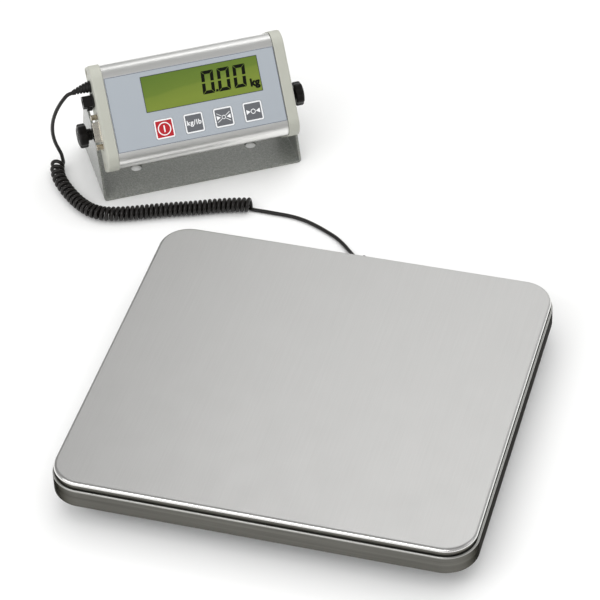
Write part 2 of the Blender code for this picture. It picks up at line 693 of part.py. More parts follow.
def batteries(parent):
    """An open tray behind the rear wall, with two rows of two cells."""
    middle = (0.0, TRAY_CENTRE_HEIGHT)
    outside = (TRAY_SIZE[0] - 2 * FIT, TRAY_SIZE[1] - 2 * FIT)
    inside = (outside[0] - 2 * TRAY_WALL, outside[1] - 2 * TRAY_WALL)
    front = TRAY_BACK - TRAY_DEPTH
    tray = prism(rounded_outline(*outside, 0.0015, 2, middle), front, TRAY_BACK, "Y")
    made = solid("battery_tray", tray, "black_plastic", parent)
    hollow = rounded_outline(*inside, 0.0010, 2, middle)
    boolean(made, prism(hollow, front + TRAY_WALL, TRAY_BACK + 0.002, "Y"))
    depth = front + TRAY_WALL + GAP + CELL_DIAMETER / 2
    for index in range(4):
        column, row = index % 2, index // 2
        height = TRAY_CENTRE_HEIGHT + (row - 0.5) * (CELL_DIAMETER + GAP)
        start = (column - 1) * CELL_LENGTH + (GAP if column else -GAP)
        radius = CELL_DIAMETER / 2
        levels = [
            (radius - 0.0005, start),
            (radius, start + 0.0005),
            (radius, start + CELL_LENGTH - 0.0020),
            (radius - 0.0005, start + CELL_LENGTH - 0.0015),
            (0.0026, start + CELL_LENGTH - 0.0015),
            (0.0026, start + CELL_LENGTH - 0.0004),
        ]
        solid(f"battery_cell_{index + 1}", turned(levels, "X", 20, (depth, height)), "battery", parent)
    door = rounded_outline(TRAY_SIZE[0] - 2 * FIT, TRAY_SIZE[1] - 2 * FIT, 0.002, 4, middle)
    level = HOUSING_BACK - HOUSING_WALL + GAP
    made = solid("battery_door", prism(door, level, level + DOOR_SHEET, "Y"), "cap_plastic", parent)
    for row in range(3):
        grip = rounded_outline(0.016, 0.0016, 0.0007, 2, (0.0, TRAY_CENTRE_HEIGHT + 0.008 + row * 0.003))
        boolean(made, prism(grip, level + DOOR_SHEET - 0.0008, level + DOOR_SHEET + 0.002, "Y"))


# ---- what is on the left cap ----------------------------------------------------------------
def port_outline(grow):
    """The D shape of the serial socket: its rear side is the narrower one."""
    width, height = PORT_SHELL[0] / 2 + grow, PORT_SHELL[1] / 2 + grow
    slope = 0.0015
    y, z = PORT_PLACE
    return [
        (y + width, z + height - slope),
        (y - width, z + height),
        (y - width, z - height),
        (y + width, z - height + slope),
    ]


def serial_port(parent):
    face = -(CAP_OUTER - PORT_FLANGE_SHEET + GAP)
    outer = face - PORT_FLANGE_SHEET
    tip = -CAP_OUTER - PORT_REACH
    flange = rounded_outline(*PORT_FLANGE, 0.0016, 2, PORT_PLACE)
    port = solid("serial_port", prism(flange, outer, face, "X"), "nickel", parent)
    boolean(port, prism(port_outline(0.0), tip, face - PORT_FLANGE_SHEET / 2, "X"), "UNION")
    boolean(port, prism(port_outline(-PORT_WALL), tip - 0.002, face - PORT_FLANGE_SHEET / 2, "X"))
    inset = port_outline(-PORT_WALL - GAP)
    insert = prism(inset, tip + 0.0010, face - PORT_FLANGE_SHEET / 2 - GAP, "X")
    solid("serial_port_insert", insert, "black_plastic", parent)
    for name, up in (("upper", 1), ("lower", -1)):
        place = (PORT_PLACE[0], PORT_PLACE[1] + up * JACK_SPACING / 2)
        start = outer - GAP
        profile = [(JACK_RADIUS, start), (JACK_RADIUS, start - JACK_LENGTH)]
        solid(f"jack_screw_{name}", turned(profile, "X", 6, place), "nickel", parent)


def power_inlet(parent):
    """A low-voltage socket, and a dust cap whose strap turns on the socket's collar."""
    start = -CAP_OUTER - GAP
    end = start - INLET_REACH
    shoulder = start - INLET_COLLAR_LENGTH
    body = solid(
        "power_inlet",
        prism(rounded_outline(*INLET_SIZE, 0.001, 2, INLET_PLACE), shoulder, end, "X"),
        "black_plastic",
        parent,
    )
    collar = [(INLET_COLLAR_RADIUS, start), (INLET_COLLAR_RADIUS, shoulder - 0.0005)]
    boolean(body, turned(collar, "X", 24, INLET_PLACE), "UNION")
    bore = [(INLET_BORE, end - 0.002), (INLET_BORE, end + INLET_BORE_DEPTH)]
    boolean(body, turned(bore, "X", 48, INLET_PLACE))
    hinge = frame("dust_cap_hinge", (start, *INLET_PLACE), parent, (STRAP_ANGLE, 0.0, 0.0))
    inner = INLET_COLLAR_RADIUS + GAP
    low, high = -GAP, -GAP - STRAP_SHEET
    loop = [ring(circle(inner), low, "X"), ring(circle(inner), high, "X")]
    loop += [ring(circle(inner + STRAP_WIDTH), high, "X"), ring(circle(inner + STRAP_WIDTH), low, "X")]
    cap = solid("dust_cap", loft(loop, closed=True), "rubber", hinge)
    reach = STRAP_LENGTH - inner - 0.0006
    arm = rounded_outline(reach, 0.0030, 0.0002, 1, (inner + 0.0006 + reach / 2, 0.0))
    boolean(cap, prism(arm, low, high, "X"), "UNION")
    lid = rounded_outline(DUST_CAP_SIZE, DUST_CAP_SIZE, 0.0012, 3, (STRAP_LENGTH, 0.0))
    boolean(cap, prism(lid, low, low - DUST_CAP_DEPTH, "X"), "UNION")
    tip = low - DUST_CAP_DEPTH - DUST_PLUG_LENGTH
    plug = [(INLET_BORE - FIT, low - DUST_CAP_DEPTH / 2), (INLET_BORE - FIT, tip)]
    boolean(cap, turned(plug, "X", 16, (STRAP_LENGTH, 0.0)), "UNION")


def boot_drop(share):
    """How far the boot hangs below its root, at a share of its length."""
    return BOOT_DROOP * share**1.6


def cord_boot(parent):
    """A ribbed rubber sleeve that leads the cord out of the left cap and droops a little."""
    start = -CAP_OUTER - GAP
    ribs = 5
    profile = [(BOOT_ROOT_RADIUS, start)]
    for rib in range(ribs):
        share = (rib + 0.5) / ribs
        radius = BOOT_ROOT_RADIUS + (BOOT_TIP_RADIUS - BOOT_ROOT_RADIUS) * share
        level = start - BOOT_LENGTH * (rib + 0.62) / ribs
        groove = BOOT_LENGTH / ribs * 0.16
        profile += [(radius, level), (radius - 0.0006, level - groove)]
        profile += [(radius - 0.0006, level - 2 * groove)]
    profile[-1] = (BOOT_TIP_RADIUS - 0.0004, start - BOOT_LENGTH)
    rings = []
    for radius, level in profile:
        drop = boot_drop((start - level) / BOOT_LENGTH)
        centre = (
            BOOT_PLACE[0] + drop * math.sin(DISPLAY_TILT),
            BOOT_PLACE[1] - drop * math.cos(DISPLAY_TILT),
        )
        rings.append(ring(circle(radius, 20, centre), level, "X"))
    solid("cord_boot", loft(rings), "rubber", parent)


# ---- bracket and knobs ------------------------------------------------------------------------
def bracket(parent):
    """A U of painted sheet: a flat web on the table and two tapering ears."""
    web = -AXIS_HEIGHT
    top = EAR_TOP_RADIUS + 0.008
    inner = EAR_INNER
    outer_bend = arc((EAR_OUTER - BRACKET_BEND, web + BRACKET_BEND), BRACKET_BEND, 270, 360, 5)
    small = BRACKET_BEND - BRACKET_SHEET
    inner_bend = arc((inner - small, web + BRACKET_SHEET + small), small, 360, 270, 5)
    right = outer_bend + [(EAR_OUTER, top), (inner, top)] + inner_bend
    left = [(-x, z) for x, z in reversed(right)]
    made = solid("bracket", prism(right + left, -BRACKET_FRONT, BRACKET_BACK, "Y"), "hammer_paint", parent)
    side_view = circle(EAR_PIVOT_RADIUS, 40) + circle(EAR_TOP_RADIUS, 48, EAR_TOP_CENTRE)
    for depth in (-BRACKET_FRONT, BRACKET_BACK):
        side_view += [(depth, web - 0.001), (depth, web + 0.005)]
    reach = EAR_OUTER + 0.001
    boolean(made, prism(hull(side_view), -reach, reach, "X"), "INTERSECT")
    for side in (-1, 1):
        place = (side * WALL_HOLE_SPACING / 2, WALL_HOLE_DEPTH)
        hole = [(WALL_HOLE_RADIUS, web - 0.002), (WALL_HOLE_RADIUS, web + 0.004)]
        boolean(made, turned(hole, centre=place))
        bore = STUD_RADIUS + STUD_CLEARANCE
        boolean(made, turned([(bore, side * (inner - 0.002)), (bore, side * reach)], "X"))


def knob(name, side, parent):
    """A grip wheel on a threaded stud that runs through the ear into the cap."""
    hub = EAR_OUTER + GAP
    face = hub + KNOB_HUB_LENGTH
    outer = face + KNOB_THICKNESS
    steps = KNOB_GRIPS * 6

    def wheel(grow):
        points = []
        for step in range(steps):
            angle = 2 * math.pi * step / steps
            radius = KNOB_RADIUS + grow - KNOB_GRIP_DEPTH * (0.5 - 0.5 * math.cos(KNOB_GRIPS * angle))
            points.append((radius * math.cos(angle), radius * math.sin(angle)))
        return points

    def disc(radius):
        return circle(radius, steps)

    rings = [
        ring(disc(STUD_RADIUS), side * (EAR_INNER - STUD_REACH + 0.0010), "X"),
        ring(disc(STUD_RADIUS), side * hub, "X"),
        ring(disc(KNOB_HUB_RADIUS), side * hub, "X"),
        ring(disc(KNOB_HUB_RADIUS), side * face, "X"),
        ring(wheel(-0.0008), side * face, "X"),
        ring(wheel(0.0), side * (face + 0.0008), "X"),
        ring(wheel(0.0), side * (outer - 0.0010), "X"),
        ring(wheel(-0.0010), side * outer, "X"),
    ]
    solid(name, loft(rings), "black_plastic", parent)


def washer(name, side, parent):
    start, end = STEP_FACE + GAP, EAR_INNER - GAP
    outer, bore = circle(WASHER_RADIUS), circle(STUD_RADIUS + STUD_CLEARANCE)
    rings = [ring(outer, side * start, "X"), ring(outer, side * end, "X")]
    rings += [ring(bore, side * end, "X"), ring(bore, side * start, "X")]
    solid(name, loft(rings, closed=True), "rubber", parent)


def display():
    home = frame("bracket_frame", (*BRACKET_PLACE, AXIS_HEIGHT), None, (0.0, 0.0, BRACKET_YAW))
    bracket(home)
    tilt = frame("tilt_frame", (0.0, 0.0, 0.0), home, (-DISPLAY_TILT, 0.0, 0.0))
    housing(tilt)
    for side, word in ((-1, "left"), (1, "right")):
        end_cap(f"end_cap_{word}", side, tilt)
        for height, level in zip(CAP_SCREW_PLACES, ("top", "bottom")):
            cap_screw(f"cap_screw_{word}_{level}", side, height, tilt)
        knob(f"knob_{word}", side, tilt)
        washer(f"pivot_washer_{word}", side, tilt)
    overlay(tilt)
    window_and_module(tilt)
    for name, place in key_places().items():
        key(f"key_{name}", place, tilt)
    main_board(tilt)
    batteries(tilt)
    serial_port(tilt)
    power_inlet(tilt)
    cord_boot(tilt)


# ---- lead ------------------------------------------------------------------------------------------
# The lead leaves the boot on the display, hangs down to the table, runs on as a coiled
# stretch, then lies along the table and rises to the gland behind the platform.
BOOT_EXIT_STEPS = [(0.0, 0.0), (0.0033, 0.0011)]
HANGING_ROUTE = [
    (-0.2147, 0.1225, 0.0854),
    (-0.2186, 0.1217, 0.0792),
    (-0.2223, 0.1217, 0.0717),
    (-0.2254, 0.1223, 0.0635),
    (-0.2277, 0.1237, 0.0548),
    (-0.2291, 0.1257, 0.0460),
    (-0.2296, 0.1282, 0.0373),
    (-0.2294, 0.1310, 0.0291),
    (-0.2286, 0.1338, 0.0216),
    (-0.2276, 0.1360, 0.0158),
]
COIL_ROUTE = [
    (-0.2313, 0.1353),
    (-0.2281, 0.1248),
    (-0.2225, 0.1143),
    (-0.2145, 0.1045),
    (-0.2050, 0.0951),
    (-0.1946, 0.0868),
    (-0.1832, 0.0807),
    (-0.1715, 0.0788),
    (-0.1592, 0.0814),
    (-0.1473, 0.0854),
    (-0.1358, 0.0902),
    (-0.1234, 0.0952),
    (-0.1108, 0.0998),
    (-0.0982, 0.1044),
    (-0.0858, 0.1095),
    (-0.0732, 0.1139),
    (-0.0620, 0.1172),
    (-0.0548, 0.1187),
]
TABLE_ROUTE = [
    (-0.0517, 0.1171, 0.0019),
    (-0.0432, 0.1178, 0.0019),
    (-0.0341, 0.1180, 0.0019),
    (-0.0252, 0.1178, 0.0019),
    (-0.0161, 0.1169, 0.0019),
    (-0.0066, 0.1146, 0.0019),
    (0.0032, 0.1107, 0.0019),
    (0.0134, 0.1056, 0.0020),
    (0.0238, 0.0994, 0.0022),
    (0.0324, 0.0920, 0.0023),
    (0.0402, 0.0836, 0.0028),
    (0.0470, 0.0745, 0.0060),
    (0.0528, 0.0660, 0.0118),
    (0.0572, 0.0590, 0.0188),
]


def boot_exit():
    """World points on the axis of the cord boot, from its tip outwards and down."""
    across = Vector((math.cos(BRACKET_YAW), math.sin(BRACKET_YAW), 0.0))
    back = Vector((-math.sin(BRACKET_YAW), math.cos(BRACKET_YAW), 0.0))
    depth, height = BOOT_PLACE
    lean_back = depth * math.cos(DISPLAY_TILT) + height * math.sin(DISPLAY_TILT)
    lift = height * math.cos(DISPLAY_TILT) - depth * math.sin(DISPLAY_TILT)
    reach = CAP_OUTER + GAP + BOOT_LENGTH + 3 * GAP
    tip = Vector((*BRACKET_PLACE, AXIS_HEIGHT + lift)) - across * reach + back * lean_back
    tip.z -= BOOT_DROOP
    return [tip - across * out - Vector((0.0, 0.0, down)) for out, down in BOOT_EXIT_STEPS]


def gland_exit():
    """World points on the axis of the gland, ending at its tip."""
    x, y = PLATFORM_PLACE
    tip = y + PLATE_DEPTH / 2 + SHELL_LIP + GAP + GLAND_REACH + 2 * GAP
    return [(x - 0.0003, tip + 0.0042, GLAND_HEIGHT - 0.0008), (x, tip, GLAND_HEIGHT)]


def smooth_route(points, count):
    """Even points on one Catmull-Rom curve through the given points."""
    knots = [Vector(point) for point in points]
    ends = [2 * knots[0] - knots[1], *knots, 2 * knots[-1] - knots[-2]]
    fine = []
    for first, start, end, last in zip(ends, ends[1:], ends[2:], ends[3:]):
        for step in range(16):
            t = step / 16
            fine.append(
                0.5
                * (
                    2 * start
                    + (end - first) * t
                    + (2 * first - 5 * start + 4 * end - last) * t**2
                    + (3 * start - first - 3 * end + last) * t**3
                )
            )
    fine.append(knots[-1])
    lengths = [0.0]
    for low, high in zip(fine, fine[1:]):
        lengths.append(lengths[-1] + (high - low).length)
    even, at = [], 0
    for index in range(count):
        wanted = lengths[-1] * index / (count - 1)
        while at < len(fine) - 2 and lengths[at + 1] < wanted:
            at += 1
        share = (wanted - lengths[at]) / (lengths[at + 1] - lengths[at])
        even.append(fine[at].lerp(fine[at + 1], share))
    return even


def tube(name, points, radius, resolution):
    curve = bpy.data.curves.new(name, "CURVE")
    curve.dimensions = "3D"
    curve.bevel_depth = radius
    curve.bevel_resolution = resolution
    curve.use_fill_caps = True
    spline = curve.splines.new("POLY")
    spline.points.add(len(points) - 1)
    for knot, point in zip(spline.points, points):
        knot.co = (*point, 1.0)
    made = bpy.data.objects.new(name, curve)
    bpy.context.scene.collection.objects.link(made)
    curve.materials.append(material("rubber"))
    return made


def lead():
    tube("cord_display_tail", smooth_route(boot_exit() + HANGING_ROUTE, 24), CORD_DIAMETER / 2, 2)
    level = COIL_DIAMETER / 2 + 0.0001
    coil = [(x, y, level) for x, y in COIL_ROUTE]
    tube("cord_coil", smooth_route(coil, 18), COIL_DIAMETER / 2, 4)
    tube("cord_platform_tail", smooth_route(TABLE_ROUTE + gland_exit(), 34), CORD_DIAMETER / 2, 2)


def build():
    clear_scene()
    platform()
    display()
    lead()
    bpy.context.view_layer.update()


build()
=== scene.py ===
# %% [markdown]
# # A bench scale
# The real object is a low steel platform on four feet and a separate display on a bent
# bracket, joined by a coiled lead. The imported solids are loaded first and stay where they
# are; everything below either gives one of them a finish or stands in for it.

# %% Load the solids
import json
import math

import bmesh
import bpy
from mathutils import Matrix, Vector

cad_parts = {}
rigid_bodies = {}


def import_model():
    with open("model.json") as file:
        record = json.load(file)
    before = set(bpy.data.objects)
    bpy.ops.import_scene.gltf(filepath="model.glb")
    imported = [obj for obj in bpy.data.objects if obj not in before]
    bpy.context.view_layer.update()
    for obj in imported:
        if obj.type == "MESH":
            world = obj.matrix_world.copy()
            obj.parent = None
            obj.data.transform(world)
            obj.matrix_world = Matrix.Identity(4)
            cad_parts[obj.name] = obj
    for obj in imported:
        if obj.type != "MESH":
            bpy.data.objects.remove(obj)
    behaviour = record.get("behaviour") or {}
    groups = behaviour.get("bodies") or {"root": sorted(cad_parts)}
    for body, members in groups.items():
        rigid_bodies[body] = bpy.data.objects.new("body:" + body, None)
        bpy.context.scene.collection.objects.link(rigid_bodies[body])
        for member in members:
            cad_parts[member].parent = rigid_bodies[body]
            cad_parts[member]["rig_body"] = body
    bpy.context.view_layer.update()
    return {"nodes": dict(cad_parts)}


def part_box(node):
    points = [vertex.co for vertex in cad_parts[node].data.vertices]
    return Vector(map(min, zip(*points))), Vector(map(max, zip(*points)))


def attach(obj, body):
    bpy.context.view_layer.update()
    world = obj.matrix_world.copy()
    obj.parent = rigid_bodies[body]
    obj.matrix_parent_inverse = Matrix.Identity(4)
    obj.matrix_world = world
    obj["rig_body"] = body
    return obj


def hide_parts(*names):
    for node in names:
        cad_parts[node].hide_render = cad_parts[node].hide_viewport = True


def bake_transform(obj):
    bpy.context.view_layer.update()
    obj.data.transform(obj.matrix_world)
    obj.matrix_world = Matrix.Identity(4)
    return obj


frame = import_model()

# %% [markdown]
# ## Places
# The display turns about one line, so it gets a frame of its own: x along the line, y to
# the back, z up the face. A matrix per frame lets each piece be drawn flat and then laid
# in place, which is easier than working out slanted points by hand.

# %% Frames
AXIS_PLACE = Vector((-0.1222, 0.1742, 0.0476))
BRACKET_YAW = math.radians(31.7)
DISPLAY_TILT = math.radians(39.0)

low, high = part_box("weighing_plate")
PLATFORM = Matrix.Translation(((low.x + high.x) / 2, (low.y + high.y) / 2, 0.0))
BRACKET = Matrix.Translation(AXIS_PLACE) @ Matrix.Rotation(BRACKET_YAW, 4, "Z")
TILT = BRACKET @ Matrix.Rotation(-DISPLAY_TILT, 4, "X")

# Local z of a drawn piece points forwards, left or right once it is turned by these.
FORWARDS = Matrix.Rotation(math.radians(90), 4, "X")
LEFTWARDS = Matrix.Rotation(math.radians(-90), 4, "Y")
RIGHTWARDS = Matrix.Rotation(math.radians(90), 4, "Y")
print("platform at", [round(c, 4) for c in PLATFORM.translation])


def on_display(x, y, z, turn=FORWARDS):
    """A place on the display: along the axis, back from it, and up its face."""
    return TILT @ Matrix.Translation((x, y, z)) @ turn


# %% [markdown]
# ## Camera
# A long lens from above and in front keeps the sides of the platform nearly parallel. The
# colours are shown by the plain Standard view, so that a grey in a finish is the grey seen.

# %% Camera
camera_data = bpy.data.cameras.new("camera")
camera_data.lens = 167.4
camera_data.sensor_width = 36.0
camera = bpy.data.objects.new("camera", camera_data)
camera.location = (0.5118, -1.5934, 1.4818)
camera.rotation_euler = (math.radians(48.693), math.radians(1.656), math.radians(15.653))
bpy.context.scene.collection.objects.link(camera)
bpy.context.scene.camera = camera
bpy.context.scene.view_settings.view_transform = "Standard"
print("camera lens", camera_data.lens)

# %% [markdown]
# ## Writing a finish
# A finish is a shader made of nodes. Node maths is hard to read as a list of links, so one
# small class wraps a socket: adding or multiplying two of them adds the Math node. A second
# class holds the material and adds every other node by its type, settings and sockets.

# %% Shader maths
class Level:
    """A number in a shader. Arithmetic on it adds Math nodes."""

    def __init__(self, finish, socket):
        self.finish, self.socket = finish, socket

    def maths(self, operation, *terms):
        sockets = dict(enumerate(terms))
        return self.finish.add("ShaderNodeMath", {"operation": operation}, sockets)

    def __add__(self, other):
        return self.maths("ADD", self, other)

    def __sub__(self, other):
        return self.maths("SUBTRACT", self, other)

    def __rsub__(self, other):
        return self.maths("SUBTRACT", other, self)

    def __mul__(self, other):
        return self.maths("MULTIPLY", self, other)

    __radd__ = __add__
    __rmul__ = __mul__


# %% Finishes
class Finish:
    """A material with one Principled shader and the nodes that feed it."""

    def __init__(self, name, colour, roughness, metallic=0.0, **constants):
        self.material = bpy.data.materials.new(name)
        self.material.use_nodes = True
        self.tree = self.material.node_tree
        self.shader = self.tree.nodes["Principled BSDF"]
        self.colour, self.roughness = colour, roughness
        self.feed("Base Color", (*colour, 1.0))
        self.feed("Roughness", roughness)
        self.feed("Metallic", metallic)
        for socket, value in constants.items():
            self.feed(socket.replace("_", " "), value)

    def feed(self, socket, value, node=None):
        """Set a socket, or link it, on the shader or on another node."""
        target = (node or self.shader).inputs[socket]
        if isinstance(value, Level):
            self.tree.links.new(value.socket, target)
        elif isinstance(value, bpy.types.NodeSocket):
            self.tree.links.new(value, target)
        else:
            target.default_value = value

    def add(self, kind, settings=None, sockets=None, out=0):
        """Add a node; its first output comes back wrapped."""
        node = self.tree.nodes.new(kind)
        for name, value in (settings or {}).items():
            if name == "stops":
                while len(node.color_ramp.elements) < len(value):
                    node.color_ramp.elements.new(0.5)
                for element, (place, grey) in zip(node.color_ramp.elements, value):
                    element.position = place
                    element.color = (grey, grey, grey, 1.0)
            else:
                setattr(node, name, value)
        for name, value in (sockets or {}).items():
            self.feed(name, value, node)
        return Level(self, node.outputs[out])

    def place(self, stretch=(1.0, 1.0, 1.0), turn=(0.0, 0.0, 0.0), centre=(0.0, 0.0, 0.0)):
        """Where a point is on the piece, in the frame given by centre and turn."""
        here = self.add("ShaderNodeTexCoord", out=3)
        local = self.add(
            "ShaderNodeMapping",
            {"vector_type": "TEXTURE"},
            {"Vector": here, "Location": centre, "Rotation": turn},
        )
        return self.add("ShaderNodeMapping", None, {"Vector": local, "Scale": stretch})

    def noise(self, place, scale, detail=3.0, rough=0.55):
        sockets = {"Vector": place, "Scale": scale, "Detail": detail, "Roughness": rough}
        return self.add("ShaderNodeTexNoise", None, sockets)

    def ramp(self, level, *stops):
        return self.add("ShaderNodeValToRGB", {"stops": stops}, {"Fac": level})

    def mix(self, share, first, second):
        """A colour between two colours."""
        sockets = {0: share, 6: first, 7: second}
        sockets = {k: (*v, 1.0) if isinstance(v, tuple) else v for k, v in sockets.items()}
        return self.add("ShaderNodeMix", {"data_type": "RGBA"}, sockets, out=2)

    def relief(self, height, depth, strength=1.0):
        sockets = {"Height": height, "Distance": depth, "Strength": strength}
        self.feed("Normal", self.add("ShaderNodeBump", None, sockets))

    def shades(self, share, spread):
        """Let the base colour drift a little lighter and darker with a pattern."""
        dark = tuple(c * (1.0 - spread) for c in self.colour)
        light = tuple(min(c * (1.0 + spread), 1.0) for c in self.colour)
        self.feed("Base Color", self.mix(share, dark, light))
        return self


DISPLAY_TURN = (-DISPLAY_TILT, 0.0, BRACKET_YAW)
print("finish classes ready")

# %% [markdown]
# ## Brushed and satin metal
# Brushing leaves fine lines in one direction. Noise stretched a hundredfold along the
# grain gives them: the same lines change the roughness, the shade and a very low relief,
# as a real scratch does. The platform is brushed front to back, its band along its length.
# The rounded rim gets a brighter steel of its own, a painted highlight, and the band a dark
# one, painted shade and a painted dark reflection.

# %% Metals
def brushed(name, colour, roughness, stretch, spread, depth, edge=1.0, **where):
    """Metal with fine lines. A low edge keeps it dark where it is seen at a glance."""
    made = Finish(name, colour, roughness, 1.0, Specular_Tint=(edge, edge, edge, 1.0))
    fine = made.noise(made.place(stretch, **where), 1.0, 4.0, 0.7)
    broad = made.noise(made.place((9.0, 9.0, 9.0), **where), 1.0, 2.0)
    smudge = made.noise(made.place((60.0, 60.0, 60.0), **where), 1.0, 3.0)
    made.shades(fine * 0.75 + broad * 0.25, spread)
    made.feed("Roughness", roughness - 0.09 + fine * 0.12 + smudge * 0.06)
    made.relief(fine, depth)
    return made.material


LID_STEEL = brushed(
    "lid_steel", (0.535, 0.532, 0.522), 0.33, (1400.0, 14.0, 1400.0), 0.10, 0.00003
)
# A brighter steel for the lid's round: a painted highlight.
RIM_HIGHLIGHT_STEEL = brushed(
    "rim_highlight_steel", (0.86, 0.857, 0.84), 0.27, (14.0, 14.0, 900.0), 0.08, 0.00002
)
# The band steel is much darker than the lid's, and its low edge tint darkens it further at a
# glance: painted shade and a painted dark reflection on the band and the lid's wall.
SHADED_BAND_STEEL = brushed(
    "shaded_band_steel", (0.155, 0.152, 0.138), 0.34, (5.0, 5.0, 420.0), 0.62, 0.00003, 0.06
)
# A lighter steel for the tray's ledge and deck: a painted highlight line under the lid.
LEDGE_HIGHLIGHT_STEEL = brushed(
    "ledge_highlight_steel", (0.42, 0.42, 0.40), 0.30, (9.0, 9.0, 620.0), 0.15, 0.00002
)
ALUMINIUM = brushed(
    "satin_aluminium", (0.86, 0.86, 0.84), 0.34, (30.0, 1500.0, 1500.0), 0.07, 0.00002,
    turn=DISPLAY_TURN, centre=tuple(AXIS_PLACE),
)
NICKEL = brushed("nickel", (0.58, 0.51, 0.39), 0.20, (300.0, 300.0, 300.0), 0.16, 0.00001)
# The socket shell's strong light and dark streaks are partly its brushing and partly a painted
# reflection of bright and dark stripes round it.
SHELL_NICKEL = brushed(
    "shell_nickel", (0.60, 0.57, 0.50), 0.22, (90.0, 90.0, 900.0), 0.40, 0.00003
)
CELL_STEEL = brushed(
    "cell_steel", (0.50, 0.50, 0.51), 0.40, (900.0, 40.0, 900.0), 0.10, 0.00002
)
BRASS = brushed("gilt", (0.66, 0.44, 0.16), 0.26, (400.0, 400.0, 400.0), 0.12, 0.00001)


def galvanised():
    """Zinc shows large flat crystals, so cells of a few millimetres set its shade."""
    made = Finish("galvanised", (0.46, 0.47, 0.48), 0.45, 1.0)
    place = made.place()
    cells = made.add("ShaderNodeTexVoronoi", None, {"Vector": place, "Scale": 190.0}, out=1)
    grey = made.add("ShaderNodeRGBToBW", None, {"Color": cells})
    made.shades(grey, 0.22)
    made.feed("Roughness", 0.36 + grey * 0.16)
    made.relief(made.noise(place, 700.0), 0.00003)
    return made.material


GALVANISED = galvanised()
print("metals", len(bpy.data.materials))

# %% [markdown]
# ## Plastics, rubber and paint
# Moulded plastic has a fine spark-eroded grain and slight clouding. Hammer paint pulls
# itself into shallow cells about two millimetres across while it dries, with darker
# pigment in the dips; a Voronoi pattern, blurred with noise, gives the same cells.

# %% Plastics and rubber
def moulded(name, colour, roughness, grain=1600.0, depth=0.00004, spread=0.05, **constants):
    made = Finish(name, colour, roughness, **constants)
    place = made.place()
    skin = made.noise(place, grain, 2.0)
    cloud = made.noise(place, 45.0, 3.0)
    scuff = made.noise(made.place((260.0, 900.0, 260.0)), 1.0, 4.0, 0.7)
    made.shades(cloud * 0.7 + skin * 0.3, spread)
    wear = made.ramp(scuff, (0.5, 0), (0.8, 1))
    made.feed("Roughness", roughness - 0.10 + cloud * 0.10 + wear * 0.12)
    made.relief(skin, depth)
    return made.material


CAP_PLASTIC = moulded("cap_plastic", (0.465, 0.470, 0.412), 0.50)
BLACK_PLASTIC = moulded(
    "black_plastic", (0.0055, 0.0048, 0.0042), 0.36, spread=0.25, Specular_IOR_Level=0.22
)
RUBBER = moulded(
    "rubber", (0.009, 0.0085, 0.008), 0.55, 900.0, 0.00006, 0.30, Specular_IOR_Level=0.3
)
CORD_RUBBER = moulded(
    "cord_rubber", (0.0065, 0.005, 0.0042), 0.34, 1100.0, 0.00003, 0.30,
    Specular_IOR_Level=0.4,
)
INSERT_PLASTIC = moulded("insert_plastic", (0.05, 0.05, 0.055), 0.5, spread=0.2)
BATTERY_WRAP = moulded("battery_wrap", (0.05, 0.055, 0.07), 0.32, spread=0.3, Coat_Weight=0.4)
KEY_GREY = moulded("key_grey", (0.122, 0.128, 0.140), 0.48, 2200.0, 0.00002, 0.10)
KEY_RED = moulded("key_red", (0.44, 0.004, 0.012), 0.46, 2200.0, 0.00002, 0.08)
WHITE_PRINT = moulded("white_print", (0.90, 0.91, 0.92), 0.5, 1800.0, 0.00001, 0.04)
LCD_BLACK = moulded(
    "lcd_black", (0.004, 0.005, 0.002), 0.55, 900.0, 0.00001, 0.3, Specular_IOR_Level=0.12
)
BORDER_PRINT = moulded("border_print", (0.045, 0.055, 0.040), 0.40, 1500.0, 0.00001, 0.10)
EDGE_PRINT = moulded("edge_print", (0.17, 0.19, 0.23), 0.45, 1500.0, 0.00001, 0.08)


# %% Hammer paint
def hammer_paint():
    made = Finish(
        "hammer_paint", (0.215, 0.224, 0.203), 0.40, Coat_Weight=0.7, Coat_Roughness=0.18
    )
    place = made.place()
    cells = made.add(
        "ShaderNodeTexVoronoi", {"feature": "SMOOTH_F1"}, {"Vector": place, "Scale": 620.0}
    )
    speck = made.noise(place, 1500.0, 2.0, 0.6)
    cloud = made.noise(place, 22.0, 3.0)
    dips = made.ramp(cells, (0.15, 0.0), (0.75, 1.0))
    pigment = made.ramp(speck, (0.38, 0), (0.62, 1))
    made.shades(dips * 0.40 + pigment * 0.50 + cloud * 0.10, 0.50)
    made.feed("Roughness", 0.30 + dips * 0.18 + cloud * 0.08)
    made.relief(dips + speck * 0.4, 0.00018)
    return made.material


HAMMER_PAINT = hammer_paint()
print("paints and plastics", len(bpy.data.materials))

# %% [markdown]
# ## Printed foil, display glass and boards
# The front foil is a pale blue-grey film with a faint grain. The display glass is an olive
# liquid-crystal cell, painted lighter below a soft slanting line: a painted reflection. It
# gets a glossy coat; the dark digits are separate shapes on it.

# %% Foil
def front_foil():
    made = Finish("front_foil", (0.385, 0.420, 0.458), 0.42)
    place = made.place(turn=DISPLAY_TURN, centre=tuple(AXIS_PLACE))
    cloud = made.noise(place, 16.0, 2.0)
    grain = made.noise(place, 1800.0, 2.0)
    made.shades(cloud * 0.6 + grain * 0.4, 0.055)
    made.feed("Roughness", 0.36 + cloud * 0.10)
    made.relief(grain, 0.00002)
    return made.material


